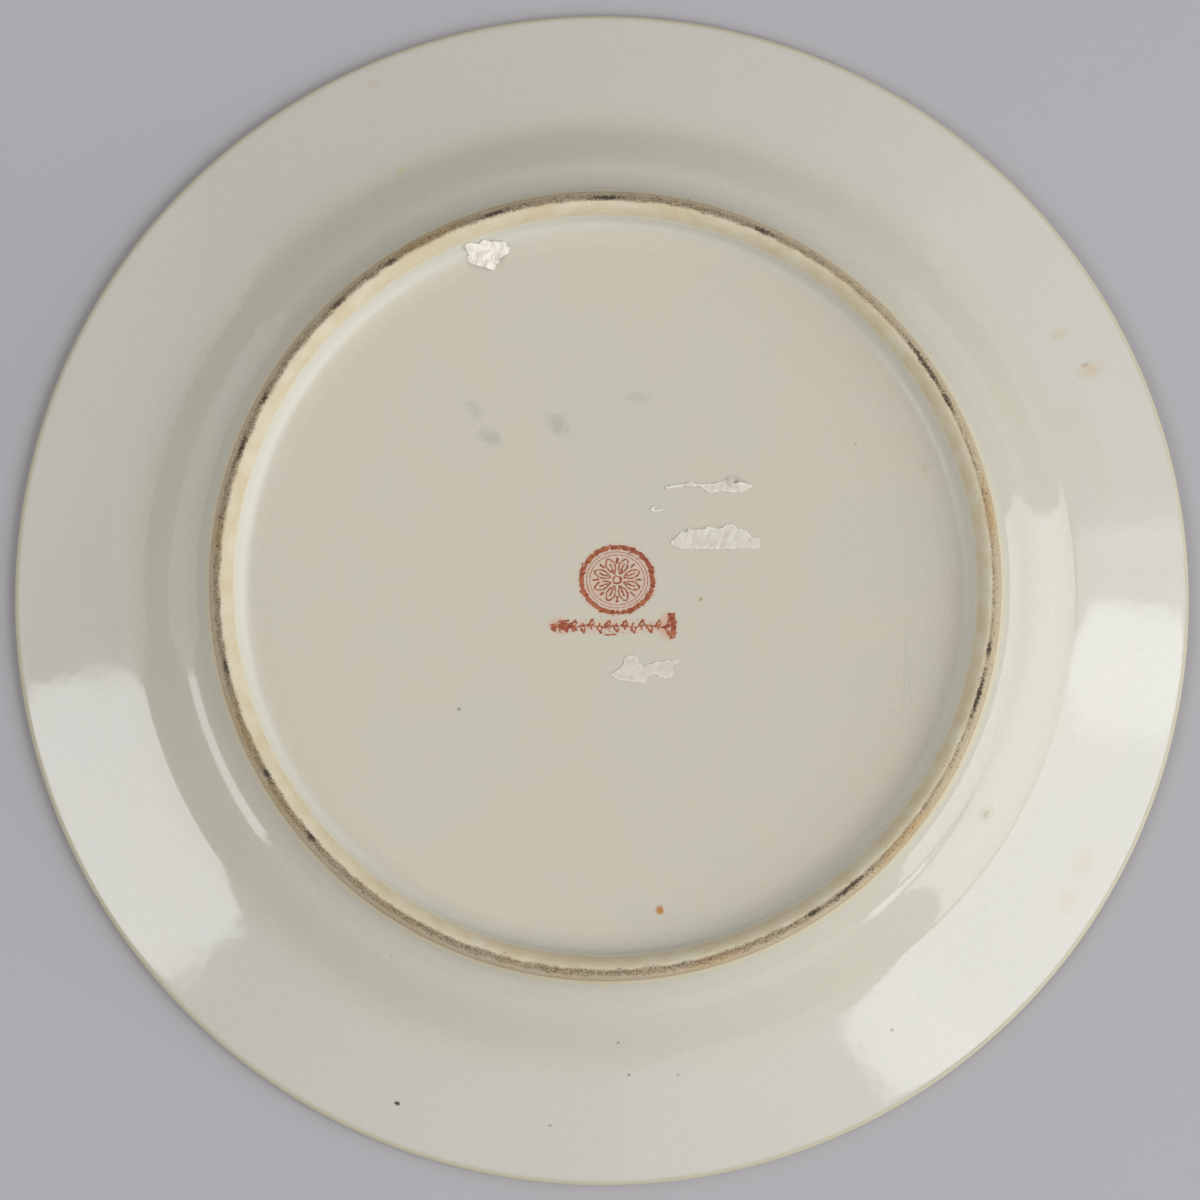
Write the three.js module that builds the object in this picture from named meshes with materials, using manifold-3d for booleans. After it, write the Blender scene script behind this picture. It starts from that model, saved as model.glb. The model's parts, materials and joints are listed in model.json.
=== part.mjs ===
// A hand painted porcelain plate, lying face down on its rim with its foot ring up.
// Millimetres, +Z up. The origin is the centre of the plane that the rim rests on.
// Every round piece is a profile of radius and height spun about Z. Painted and pasted pieces are
// flat outlines in plan, pressed down onto the glazed surface that carries them.

import * as THREE from "three";
import { mergeVertices } from "three/addons/utils/BufferGeometryUtils.js";
import Module from "manifold-3d";

const wasm = await Module();
wasm.setup();

// ---------------------------------------------------------------- driving dimensions

const PLATE_RADIUS = 130;
const PLATE_HEIGHT = 27;
const LIP_THICKNESS = 3;
const RIM_SHOULDER_RADIUS = 107; // where the back of the rim turns into the cavetto
const RIM_SHOULDER_HEIGHT = 8.6;
const CREST_RADIUS = 82.6; // middle of the ground crest of the foot ring
const CREST_WIDTH = 1;
const BARE_OUTSIDE = { radius: 85.1, height: 23.6 }; // where the back glaze stops
const BARE_INSIDE = { radius: 79.9, height: 24.6 }; // where the base glaze stops
const BASE_FLAT_RADIUS = 71;
const BASE_HEIGHT = 19.7; // porcelain under the base glaze
const WELL_FLAT_RADIUS = 76;
const WELL_HEIGHT = 15.6; // porcelain over the glaze of the well
const FACE_SHOULDER_RADIUS = 105.5;
const FACE_SHOULDER_HEIGHT = 5.4;

const GLAZE_THICKNESS = 0.3;
const GILDING_THICKNESS = 0.12;
const PAINT_THICKNESS = 0.35;
const PAINT_GAP = 0.1;
const PAPER_THICKNESS = 0.25;
const PAPER_GAP = 0.05;

const SPIN_STEPS = 48; // facets round the plate

const ROSES = 8; // roses round the rim, with one leaf spray between each two
const ROSE_RING_RADIUS = 115.5;
const ROSE_RADIUS = 4.6;

const MARK_CENTRE = { x: 2.4, y: 0.8 };
const MARK_RADIUS = 8.2;
const MARK_SQUASH = 0.92; // the brushed ring is a little lower than it is wide

// ---------------------------------------------------------------- finishes

const finish = (color, roughness, metalness = 0) =>
  new THREE.MeshStandardMaterial({ color, roughness, metalness });

const BISCUIT = 0xd8c9a6;
const GLAZE_WHITE = 0xcfccbf;
const GOLD = 0xb08d45;
const IRON_RED = 0xa3452f;
const ROSE_PINK = 0xc4677c;
const LEAF_GREEN = 0x5f8d6a;
const YELLOW = 0xd9b64a;
const PAPER = 0xe9e4d2;

const plate = new THREE.Group();

function addPiece(name, geometry, material) {
  const mesh = new THREE.Mesh(geometry, material);
  mesh.name = name;
  plate.add(mesh);
  return mesh;
}

// ---------------------------------------------------------------- profiles

const point = (radius, height) => new THREE.Vector2(radius, height);

const bend = (a, b, c, d, steps) =>
  new THREE.CubicBezierCurve(point(...a), point(...b), point(...c), point(...d)).getPoints(steps);

// The eating face of the porcelain, from the middle of the well out to the lip.
function faceProfile() {
  const shoulder = [FACE_SHOULDER_RADIUS, FACE_SHOULDER_HEIGHT];
  const lip = [PLATE_RADIUS - LIP_THICKNESS / 2, 0];
  const slope = FACE_SHOULDER_HEIGHT / (lip[0] - FACE_SHOULDER_RADIUS);
  const lead = 9; // how far the cavetto runs on in line with the rim
  const cavetto = bend(
    [WELL_FLAT_RADIUS, WELL_HEIGHT],
    [WELL_FLAT_RADIUS + 12, WELL_HEIGHT],
    [shoulder[0] - lead, shoulder[1] + lead * slope],
    shoulder,
    4,
  );
  return [point(0, WELL_HEIGHT), ...cavetto, point(...lip)];
}

// The rounded edge, from the lowest line of the lip up and over to the back of the rim.
function lipProfile() {
  const radius = LIP_THICKNESS / 2;
  const lowest = -Math.PI / 2;
  const highest = THREE.MathUtils.degToRad(75);
  const steps = 5;
  return Array.from({ length: steps + 1 }, (_, i) => {
    const turn = THREE.MathUtils.lerp(lowest, highest, i / steps);
    return point(PLATE_RADIUS - radius + radius * Math.cos(turn), radius + radius * Math.sin(turn));
  });
}

// The back of the porcelain, from the lip in to where the back glaze stops on the foot ring.
function backProfile() {
  const lipTop = lipProfile().pop();
  const shoulder = [RIM_SHOULDER_RADIUS, RIM_SHOULDER_HEIGHT];
  const springing = [90.5, 17.9]; // where the cavetto starts to rise into the foot ring
  const cavetto = bend(shoulder, [100.5, 10.4], [97.5, 12.8], springing, 4);
  const wall = bend(
    springing,
    [87.6, 20],
    [85.7, 21.2],
    [BARE_OUTSIDE.radius, BARE_OUTSIDE.height],
    3,
  );
  return [lipTop, ...cavetto, ...wall.slice(1)];
}

// The bare crest of the foot ring, from the edge of the back glaze to the edge of the base glaze.
function footProfile() {
  const outer = new THREE.QuadraticBezierCurve(
    point(BARE_OUTSIDE.radius, BARE_OUTSIDE.height),
    point(BARE_OUTSIDE.radius - 0.2, PLATE_HEIGHT - 1.1),
    point(CREST_RADIUS + CREST_WIDTH / 2, PLATE_HEIGHT),
  ).getPoints(2);
  const inner = new THREE.QuadraticBezierCurve(
    point(CREST_RADIUS - CREST_WIDTH / 2, PLATE_HEIGHT),
    point(BARE_INSIDE.radius + 1, PLATE_HEIGHT - 0.4),
    point(BARE_INSIDE.radius, BARE_INSIDE.height),
  ).getPoints(2);
  return [...outer, ...inner];
}

// The sunk base inside the foot ring, from the edge of its glaze to the middle.
function baseProfile() {
  const fillet = bend(
    [BARE_INSIDE.radius, BARE_INSIDE.height],
    [BARE_INSIDE.radius - 0.6, 21.6],
    [BASE_FLAT_RADIUS + 5.5, BASE_HEIGHT],
    [BASE_FLAT_RADIUS, BASE_HEIGHT],
    4,
  );
  return [...fillet, point(0, BASE_HEIGHT)];
}

// Each point of an open profile moved to its left by a distance, seen along the profile.
function offsetProfile(profile, distance) {
  return profile.map((p, i) => {
    const before = profile[Math.max(i - 1, 0)];
    const after = profile[Math.min(i + 1, profile.length - 1)];
    const along = after.clone().sub(before).normalize();
    const moved = point(p.x - along.y * distance, p.y + along.x * distance);
    if (p.x === 0) moved.set(0, p.y + Math.sign(along.x) * distance);
    return moved;
  });
}

// A profile spun about Z. It runs anticlockwise, with radius to the right and height up.
function spin(profile) {
  const geometry = new THREE.LatheGeometry(profile, SPIN_STEPS);
  return geometry.rotateX(Math.PI / 2);
}

// A coat on one side of a profile, as one closed ring or, where it reaches the axis, one disc.
function coat(profile, thickness) {
  const outside = offsetProfile(profile, -thickness);
  const loop = [...outside, ...profile.slice().reverse()];
  const onAxis = profile[0].x === 0 || profile[profile.length - 1].x === 0;
  if (!onAxis) return spin([...loop, loop[0]]);
  if (profile[0].x === 0) return spin(loop);
  return spin([...profile.slice().reverse(), ...outside]);
}

// ---------------------------------------------------------------- outlines pressed onto a surface

// Height of a profile at a radius, by straight lines between its points.
function heightOn(profile, radius) {
  const inward = profile[0].x > profile[profile.length - 1].x;
  const points = inward ? profile.slice().reverse() : profile;
  const next = points.findIndex((p) => p.x >= radius);
  if (next < 0) return points[points.length - 1].y;
  if (next === 0) return points[0].y;
  const a = points[next - 1];
  const b = points[next];
  return THREE.MathUtils.mapLinear(radius, a.x, b.x, a.y, b.y);
}

// The two glazed surfaces that carry paint and paper.
const faceGlazeProfile = offsetProfile(faceProfile(), -GLAZE_THICKNESS);
const baseGlazeProfile = offsetProfile(baseProfile(), -GLAZE_THICKNESS);

function pressed(geometry, toHeight) {
  const position = geometry.getAttribute("position");
  for (let i = 0; i < position.count; i += 1) {
    const x = position.getX(i);
    const y = position.getY(i);
    position.setZ(i, toHeight(Math.hypot(x, y), position.getZ(i)));
  }
  return geometry;
}

const onFace = (geometry) =>
  pressed(geometry, (radius, z) => heightOn(faceGlazeProfile, radius) - PAINT_GAP - PAINT_THICKNESS + z);

const onBase = (geometry, gap = PAPER_GAP) =>
  pressed(geometry, (radius, z) => heightOn(baseGlazeProfile, radius) + gap + z);

const plank = (shape, depth) =>
  new THREE.ExtrudeGeometry(shape, { depth, bevelEnabled: false, curveSegments: 3 });

function toSolid(geometry) {
  const bare = geometry.clone();
  bare.deleteAttribute("normal");
  bare.deleteAttribute("uv");
  const merged = mergeVertices(bare, 1e-4);
  const mesh = new wasm.Mesh({
    numProp: 3,
    vertProperties: new Float32Array(merged.attributes.position.array),
    triVerts: new Uint32Array(merged.index.array),
  });
  return new wasm.Manifold(mesh);
}

function joined(geometries) {
  const [first, ...others] = geometries.map(toSolid);
  const mesh = others.reduce((all, solid) => all.add(solid), first).getMesh();
  const geometry = new THREE.BufferGeometry();
  geometry.setAttribute("position", new THREE.BufferAttribute(new Float32Array(mesh.vertProperties), 3));
  geometry.setIndex(new THREE.BufferAttribute(new Uint32Array(mesh.triVerts), 1));
  return geometry;
}

// ---------------------------------------------------------------- outlines

// A pointed leaf along +X from the origin.
function leafShape(length, width) {
  const shape = new THREE.Shape();
  shape.moveTo(0, 0);
  shape.quadraticCurveTo(length * 0.45, width, length, 0);
  shape.quadraticCurveTo(length * 0.45, -width, 0, 0);
  return shape;
}

// A closed outline whose radius waves in and out round the middle.
function lobedShape(radius, lobes, depth, steps, turn = 0) {
  const shape = new THREE.Shape();
  for (let i = 0; i < steps; i += 1) {
    const angle = (i / steps) * 2 * Math.PI;
    const reach = radius * (1 - depth + depth * Math.abs(Math.cos((lobes / 2) * (angle - turn))));
    const x = reach * Math.cos(angle);
    const y = reach * Math.sin(angle);
    if (i === 0) shape.moveTo(x, y);
    else shape.lineTo(x, y);
  }
  shape.closePath();
  return shape;
}

function circleHole(radius, steps) {
  const path = new THREE.Path();
  for (let i = 0; i < steps; i += 1) {
    const angle = (-i / steps) * 2 * Math.PI;
    if (i === 0) path.moveTo(radius, 0);
    else path.lineTo(radius * Math.cos(angle), radius * Math.sin(angle));
  }
  path.closePath();
  return path;
}

function ringShape(outer, inner, steps) {
  const shape = lobedShape(outer, 0, 0, steps);
  shape.holes.push(circleHole(inner, steps));
  return shape;
}

const outline = (corners) => new THREE.Shape(corners.map(([x, y]) => new THREE.Vector2(x, y)));

const placed = (geometry, x, y, turn = 0) => geometry.rotateZ(turn).translate(x, y, 0);

// ---------------------------------------------------------------- porcelain and glaze

const porcelainMaterial = finish(BISCUIT, 0.85);
const glazeMaterial = finish(GLAZE_WHITE, 0.18);

function porcelainBody() {
  const profile = [
    ...faceProfile().slice(0, -1),
    ...lipProfile(),
    ...backProfile().slice(1),
    ...footProfile().slice(1),
    ...baseProfile().slice(1),
  ];
  return spin(profile);
}

addPiece("porcelain_body", porcelainBody(), porcelainMaterial);
addPiece("back_glaze", coat(backProfile(), GLAZE_THICKNESS), glazeMaterial);
addPiece("base_glaze", coat(baseProfile(), GLAZE_THICKNESS), glazeMaterial);

// The face glaze stops short of the lip, which stands on bare porcelain.
const FACE_GLAZE_END = PLATE_RADIUS - 3.5;

function faceGlaze() {
  const profile = faceProfile();
  const lip = profile.pop();
  const shoulder = profile[profile.length - 1];
  const share = (FACE_GLAZE_END - shoulder.x) / (lip.x - shoulder.x);
  profile.push(shoulder.clone().lerp(lip, share));
  return coat(profile, GLAZE_THICKNESS);
}

addPiece("face_glaze", faceGlaze(), glazeMaterial);

// ---------------------------------------------------------------- gilding

const goldMaterial = finish(GOLD, 0.35, 0.9);

// A worn gold line over the outermost part of the lip.
addPiece("lip_gilding", coat(lipProfile().slice(2, 5), GILDING_THICKNESS), goldMaterial);

// A painted line round the face, between two radii.
function faceLine(inner, outer) {
  const low = (radius) => heightOn(faceGlazeProfile, radius) - PAINT_GAP - PAINT_THICKNESS;
  const loop = [
    point(inner, low(inner)),
    point(outer, low(outer)),
    point(outer, low(outer) + PAINT_THICKNESS),
    point(inner, low(inner) + PAINT_THICKNESS),
  ];
  return spin([...loop, loop[0]]);
}

addPiece("rim_gold_line", faceLine(122.6, 123.8), goldMaterial);
addPiece("shoulder_gold_line", faceLine(106.2, 107.4), goldMaterial);
addPiece("well_red_line", faceLine(71.4, 72.4), finish(IRON_RED, 0.4));

// ---------------------------------------------------------------- painted rim border

const roseMaterial = finish(ROSE_PINK, 0.3);
const leafMaterial = finish(LEAF_GREEN, 0.3);

function rimRose(index) {
  const angle = (index / ROSES) * 2 * Math.PI;
  const flat = plank(lobedShape(ROSE_RADIUS, 5, 0.3, 20), PAINT_THICKNESS);
  const x = ROSE_RING_RADIUS * Math.cos(angle);
  const y = ROSE_RING_RADIUS * Math.sin(angle);
  return onFace(placed(flat, x, y, angle));
}

// A curved stem that runs from one rose towards the next, with a leaf on each side by turns.
function rimSpray(index) {
  const step = (2 * Math.PI) / ROSES;
  const middle = (index + 0.5) * step;
  const clear = (ROSE_RADIUS + 1.2) / ROSE_RING_RADIUS;
  const from = middle - step / 2 + clear;
  const to = middle + step / 2 - clear;
  const centre = (share) => {
    const angle = THREE.MathUtils.lerp(from, to, share);
    const radius = ROSE_RING_RADIUS + 1.8 * Math.sin((share - 0.5) * 2 * Math.PI);
    return new THREE.Vector2(radius * Math.cos(angle), radius * Math.sin(angle));
  };
  const stemSteps = 6;
  const halfWidth = 0.45;
  const edge = (side) =>
    Array.from({ length: stemSteps + 1 }, (_, i) => {
      const share = i / stemSteps;
      const here = centre(share);
      return here.clone().setLength(here.length() + side * halfWidth);
    });
  const stem = plank(new THREE.Shape([...edge(1).reverse(), ...edge(-1)]), PAINT_THICKNESS);
  const leafShares = [0.12, 0.37, 0.63, 0.88];
  const leaves = leafShares.map((share, i) => {
    const root = centre(share);
    const outwards = Math.atan2(root.y, root.x);
    const lean = i % 2 ? 0.9 : Math.PI - 0.9;
    const leaf = plank(leafShape(5.6, 2.1), PAINT_THICKNESS);
    return placed(leaf, root.x, root.y, outwards + lean);
  });
  return onFace(joined([stem, ...leaves]));
}

for (let i = 0; i < ROSES; i += 1) {
  addPiece(`rim_rose_${i + 1}`, rimRose(i), roseMaterial);
  addPiece(`rim_leaf_spray_${i + 1}`, rimSpray(i), leafMaterial);
}

// ---------------------------------------------------------------- painted rosette in the well

const WELL_ROSE_RADIUS = 17;
const WELL_HEART_RADIUS = 5.4;
const WREATH_RADIUS = 32;

function wellRose() {
  const shape = lobedShape(WELL_ROSE_RADIUS, 8, 0.28, 48);
  shape.holes.push(circleHole(WELL_HEART_RADIUS + 0.3, 16));
  return onFace(plank(shape, PAINT_THICKNESS));
}

function wellWreath() {
  const ring = plank(ringShape(WREATH_RADIUS + 0.5, WREATH_RADIUS - 0.5, 32), PAINT_THICKNESS);
  const leafCount = 16;
  const leaves = Array.from({ length: leafCount }, (_, i) => {
    const angle = (i / leafCount) * 2 * Math.PI;
    const lean = i % 2 ? 0.8 : Math.PI - 0.8;
    const leaf = plank(leafShape(8.5, 3.2), PAINT_THICKNESS);
    return placed(leaf, WREATH_RADIUS * Math.cos(angle), WREATH_RADIUS * Math.sin(angle), angle + lean);
  });
  return onFace(joined([ring, ...leaves]));
}

addPiece("well_rose", wellRose(), roseMaterial);
addPiece(
  "well_rose_heart",
  onFace(plank(lobedShape(WELL_HEART_RADIUS, 0, 0, 16), PAINT_THICKNESS)),
  finish(YELLOW, 0.3),
);
addPiece("well_leaf_wreath", wellWreath(), leafMaterial);

// ---------------------------------------------------------------- red mark on the base

const markMaterial = finish(IRON_RED, 0.45);

function markRosette() {
  const petals = 8;
  const ring = plank(ringShape(MARK_RADIUS, MARK_RADIUS - 1, 24), PAINT_THICKNESS);
  const heart = plank(lobedShape(1.3, 0, 0, 8), PAINT_THICKNESS);
  const strokes = Array.from({ length: petals }, (_, i) => {
    const petal = plank(leafShape(MARK_RADIUS - 0.4, 1.9), PAINT_THICKNESS);
    return placed(petal, 0, 0, ((i + 0.5) / petals) * 2 * Math.PI);
  });
  const rosette = joined([ring, heart, ...strokes]).scale(1, MARK_SQUASH, 1);
  return onBase(rosette.translate(MARK_CENTRE.x, MARK_CENTRE.y, 0));
}

// A brushed twig under the rosette: a stem with short leaves and a heavier blot at each end.
function markTwig() {
  const y = -9.4;
  const left = -10.2;
  const right = 13;
  const stem = plank(
    outline([
      [left, y - 0.35],
      [right, y - 0.35],
      [right, y + 0.35],
      [left, y + 0.35],
    ]),
    PAINT_THICKNESS,
  );
  const leafCount = 7;
  const leaves = Array.from({ length: leafCount }, (_, i) => {
    const x = THREE.MathUtils.mapLinear(i, 0, leafCount - 1, left + 2.6, right - 3.6);
    return placed(plank(leafShape(2.7, 1.1), PAINT_THICKNESS), x, y, i % 2 ? 0.75 : -0.75);
  });
  const blots = [
    placed(plank(lobedShape(1.6, 5, 0.25, 10), PAINT_THICKNESS), left, y),
    placed(plank(lobedShape(2.1, 5, 0.3, 10), PAINT_THICKNESS), right, y + 0.2),
  ];
  return onBase(joined([stem, ...leaves, ...blots]));
}

addPiece("base_mark_rosette", markRosette(), markMaterial);
addPiece("base_mark_twig", markTwig(), markMaterial);

// ---------------------------------------------------------------- scraps of a torn paper label

const paperMaterial = finish(PAPER, 0.9);

const flatScraps = {
  label_scrap_thin: [
    [13, 20.5],
    [17, 21.2],
    [20.2, 21.3],
    [22.8, 19.5],
    [24.8, 20.1],
    [28.6, 19.8],
    [32, 21.4],
    [28, 22.1],
    [27.9, 23.3],
    [24.4, 22],
    [18.4, 22],
    [12.8, 21.4],
  ],
  label_scrap_curl: [
    [9.6, 15.9],
    [10.7, 15.4],
    [12.6, 16.1],
    [12.5, 16.5],
    [10.8, 16],
    [10.2, 16.5],
  ],
  // Its lower edge is the label's own straight cut edge.
  label_scrap_wide: [
    [14, 9],
    [16, 7.5],
    [33.3, 7.6],
    [33.4, 10.2],
    [31.6, 10],
    [30.2, 11.6],
    [27.4, 12.9],
    [26, 13],
    [23.8, 11.8],
    [21.8, 12.4],
    [17.6, 12],
    [16, 11],
  ],
  label_scrap_low: [
    [0.7, -19],
    [2.3, -20.6],
    [8.1, -21.8],
    [9.4, -19.9],
    [13.7, -20.5],
    [14.5, -18],
    [16.2, -16.4],
    [12.8, -16.5],
    [8.2, -17.8],
    [6.8, -15.6],
    [3.8, -16.4],
    [2.8, -18.4],
  ],
};

for (const [name, corners] of Object.entries(flatScraps)) {
  addPiece(name, onBase(plank(outline(corners), PAPER_THICKNESS)), paperMaterial);
}

// A crumpled scrap that stands on the curve at the edge of the base.
const CRUMPLE_GAP = 0.3;
const CRUMPLE_THICKNESS = 1.2;
const crumpledScrap = outline([
  [-30.6, 72.2],
  [-30, 69.8],
  [-25.5, 68.5],
  [-24.2, 68.4],
  [-23.2, 70.6],
  [-20.8, 72.4],
  [-21.6, 74.4],
  [-26.4, 74.2],
  [-27.6, 73.2],
]);
addPiece(
  "label_scrap_by_foot",
  onBase(plank(crumpledScrap, CRUMPLE_THICKNESS), CRUMPLE_GAP),
  paperMaterial,
);

export default plate;
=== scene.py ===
"""A hand painted porcelain plate, lying face down with its foot ring up.

Metres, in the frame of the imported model: the lip rests on z = 0 and +Z points out of the foot ring.
Run as a script, it throws, glazes and paints the plate piece by piece, and sets it on a plain stage.
"""

import json
import math
import random

import bpy
import numpy as np
from mathutils import Matrix, Vector, noise


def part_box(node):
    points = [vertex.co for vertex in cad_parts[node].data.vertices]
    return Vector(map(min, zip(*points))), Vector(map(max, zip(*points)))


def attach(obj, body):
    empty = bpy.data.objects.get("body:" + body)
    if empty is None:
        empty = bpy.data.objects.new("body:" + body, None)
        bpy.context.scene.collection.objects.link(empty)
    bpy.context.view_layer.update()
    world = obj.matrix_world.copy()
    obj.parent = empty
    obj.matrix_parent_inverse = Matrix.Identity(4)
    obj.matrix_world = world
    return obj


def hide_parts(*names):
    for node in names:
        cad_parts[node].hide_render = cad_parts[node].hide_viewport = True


bl_info = {"name": "Hand painted porcelain plate", "version": (1, 0, 0), "blender": (4, 5, 0),
    "location": "View3D > Sidebar > Plate",
    "description": "Throws, glazes and paints a porcelain plate that lies face down",
    "category": "Object"}

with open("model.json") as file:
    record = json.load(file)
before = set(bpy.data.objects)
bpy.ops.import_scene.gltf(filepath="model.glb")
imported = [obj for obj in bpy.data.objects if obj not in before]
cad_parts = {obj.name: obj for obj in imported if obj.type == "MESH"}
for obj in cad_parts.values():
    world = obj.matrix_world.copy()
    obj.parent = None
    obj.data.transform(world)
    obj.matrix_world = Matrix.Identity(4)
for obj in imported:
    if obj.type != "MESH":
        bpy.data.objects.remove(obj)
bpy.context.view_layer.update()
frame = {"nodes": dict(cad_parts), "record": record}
MM = 0.001

BODY_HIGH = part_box("porcelain_body")[1]
BASE_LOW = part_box("base_glaze")[0]
FACE_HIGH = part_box("face_glaze")[1]
MARK_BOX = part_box("base_mark_rosette")
TWIG_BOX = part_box("base_mark_twig")
WELL_ROSE_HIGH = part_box("well_rose")[1]
HEART_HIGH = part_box("well_rose_heart")[1]
FIRST_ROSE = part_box("rim_rose_1")
RIM_LINE_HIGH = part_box("rim_gold_line")[1]
SHOULDER_LINE_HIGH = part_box("shoulder_gold_line")[1]
RED_LINE_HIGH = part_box("well_red_line")[1]
CREST_POINT = Vector(frame["record"]["mounts"][0]["pos_m"])
ROSES = sum(name.startswith("rim_rose_") for name in frame["nodes"])


# ---------------------------------------------------------------- sizes and colours


def length(name, description, default):
    return bpy.props.FloatProperty(name=name, description=description, default=default, min=0.0,
        precision=5, unit="LENGTH")


def colour(name, description, default):
    return bpy.props.FloatVectorProperty(name=name, description=description, default=default, size=3,
        min=0.0, max=1.0, subtype="COLOR")


class PlateSizes(bpy.types.PropertyGroup):
    """Sizes of the plate and its coats"""

    radius: length("Radius", "Radius of the lip", BODY_HIGH.x)
    height: length("Height", "From the lip to the crest of the foot ring", BODY_HIGH.z)
    lip: length("Lip", "Thickness of the rounded lip", 3 * MM)
    shoulder_radius: length("Shoulder radius", "Where the back of the rim turns down", 107 * MM)
    shoulder_height: length("Shoulder height", "Height of that turn", 8.6 * MM)
    crest_radius: length("Crest radius", "Middle of the ground crest", CREST_POINT.xy.length)
    crest_width: length("Crest width", "Width of the ground crest", 1 * MM)
    bare_outside_radius: length("Back glaze end", "Where the back glaze stops", 85.1 * MM)
    bare_outside_height: length("Back glaze end height", "Its height there", 23.6 * MM)
    bare_inside_radius: length("Base glaze end", "Where the base glaze stops", 79.9 * MM)
    bare_inside_height: length("Base glaze end height", "Its height there", 24.6 * MM)
    base_flat: length("Base", "Radius of the flat of the base", 72 * MM)
    base_height: length("Base height", "Porcelain under the base glaze", BASE_LOW.z)
    well_flat: length("Well", "Radius of the flat of the well", 76 * MM)
    well_height: length("Well height", "Porcelain over the well's glaze", FACE_HIGH.z)
    glaze: length("Glaze", "Thickness of the glaze", 0.3 * MM)
    warp: length("Warp", "How far the plate warped in the kiln", 0.35 * MM)
    ink: length("Ink", "Thickness of the red mark", 0.05 * MM)
    enamel: length("Enamel", "Thickness of the face's enamels", 0.12 * MM)
    paper: length("Paper", "Thickness of the label", 0.1 * MM)


class PlateColours(bpy.types.PropertyGroup):
    """Colours of the plate's finishes"""

    glaze: colour("Glaze", "Grey ivory glaze", (0.610, 0.551, 0.440))
    glaze_cool: colour("Cool glaze", "The glaze where it clouds", (0.596, 0.550, 0.450))
    clay: colour("Clay", "Bare fired clay of the foot", (0.66, 0.585, 0.43))
    stain: colour("Stain", "Ochre stains of the clay", (0.50, 0.27, 0.08))
    grit: colour("Grit", "Kiln grit", (0.025, 0.018, 0.012))
    gold: colour("Gold", "Worn gilding", (0.50, 0.36, 0.14))
    iron_red: colour("Iron red", "Enamel of the mark and of the well line", (0.29, 0.055, 0.020))
    halo: colour("Halo", "Pale red that the mark bled into the glaze", (0.66, 0.36, 0.25))
    rose: colour("Rose", "Enamel of the roses", (0.52, 0.10, 0.16))
    leaf: colour("Leaf", "Enamel of the leaves", (0.07, 0.22, 0.11))
    yellow: colour("Yellow", "Enamel of the hearts", (0.62, 0.40, 0.05))
    paper: colour("Paper", "Torn label paper", (0.87, 0.81, 0.70))
    floor: colour("Floor", "Plain floor", (0.45, 0.425, 0.435))


def chosen(context):
    """The sizes and the colours in use."""
    return context.scene.plate_sizes, context.scene.plate_colours


# ---------------------------------------------------------------- modelling helpers

BY_VERTEX = (True, False, False)
BY_FACE = (False, False, True)
SAME_CORNER = 2e-6


def deselect():
    if bpy.context.object and bpy.context.object.mode != "OBJECT":
        bpy.ops.object.mode_set(mode="OBJECT")
    bpy.ops.object.select_all(action="DESELECT")


def pick(piece):
    """Makes the piece the active object and the only selected one."""
    deselect()
    bpy.context.view_layer.objects.active = piece
    piece.select_set(True)


def edit(select="SELECT"):
    bpy.ops.object.mode_set(mode="EDIT")
    bpy.ops.mesh.select_all(action=select)


def leave_edit():
    bpy.ops.object.mode_set(mode="OBJECT")


def named(name):
    piece = bpy.context.object
    piece.name = name
    piece.data.name = name
    return piece


def apply_modifiers(piece):
    pick(piece)
    for modifier in list(piece.modifiers):
        bpy.ops.object.modifier_apply(modifier=modifier.name)


def settle(piece):
    """Puts the piece's place into its mesh, so that the object itself sits at the origin."""
    pick(piece)
    bpy.ops.object.transform_apply(location=True, rotation=True, scale=True)


def check_closed(piece):
    """Stops the script if the piece's surface has an open edge."""
    pick(piece)
    bpy.context.tool_settings.mesh_select_mode = BY_VERTEX
    edit("DESELECT")
    bpy.ops.mesh.select_non_manifold()
    leave_edit()
    if any(vertex.select for vertex in piece.data.vertices):
        raise RuntimeError(f"{piece.name} has an open edge")


def finish_piece(piece, material, nodes, smooth_angle=40):
    """Shades the piece, gives it its material, and hands it to the frame in place of its CAD nodes."""
    pick(piece)
    bpy.ops.object.shade_smooth_by_angle(angle=math.radians(smooth_angle))
    piece.data.materials.clear()
    piece.data.materials.append(material)
    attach(piece, "root")
    if nodes:
        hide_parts(*nodes)
    deselect()
    return piece


def turned(name, profile, steps):
    """A profile of (radius, height) corners, drawn as a line of vertices and spun about Z."""
    deselect()
    bpy.ops.mesh.primitive_plane_add(size=MM, location=(0, 0, 0))
    piece = named(name)
    bpy.context.tool_settings.mesh_select_mode = BY_VERTEX
    edit()
    bpy.ops.mesh.merge(type="CENTER")
    bpy.ops.transform.translate(value=(profile[0][0], 0, profile[0][1]))
    for here, there in zip(profile, profile[1:]):
        step = (there[0] - here[0], 0, there[1] - here[1])
        bpy.ops.mesh.extrude_vertices_move(TRANSFORM_OT_translate={"value": step})
    bpy.ops.mesh.select_all(action="SELECT")
    bpy.ops.mesh.spin(steps=steps, angle=2 * math.pi, center=(0, 0, 0), axis=(0, 0, 1))
    bpy.ops.mesh.select_all(action="SELECT")
    bpy.ops.mesh.remove_doubles(threshold=SAME_CORNER)
    bpy.ops.mesh.normals_make_consistent(inside=False)
    leave_edit()
    check_closed(piece)
    return piece


def cloud_texture(name, scale, depth=0):
    texture = bpy.data.textures.get(name) or bpy.data.textures.new(name, "CLOUDS")
    texture.noise_scale = scale
    texture.noise_depth = depth
    return texture


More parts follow.
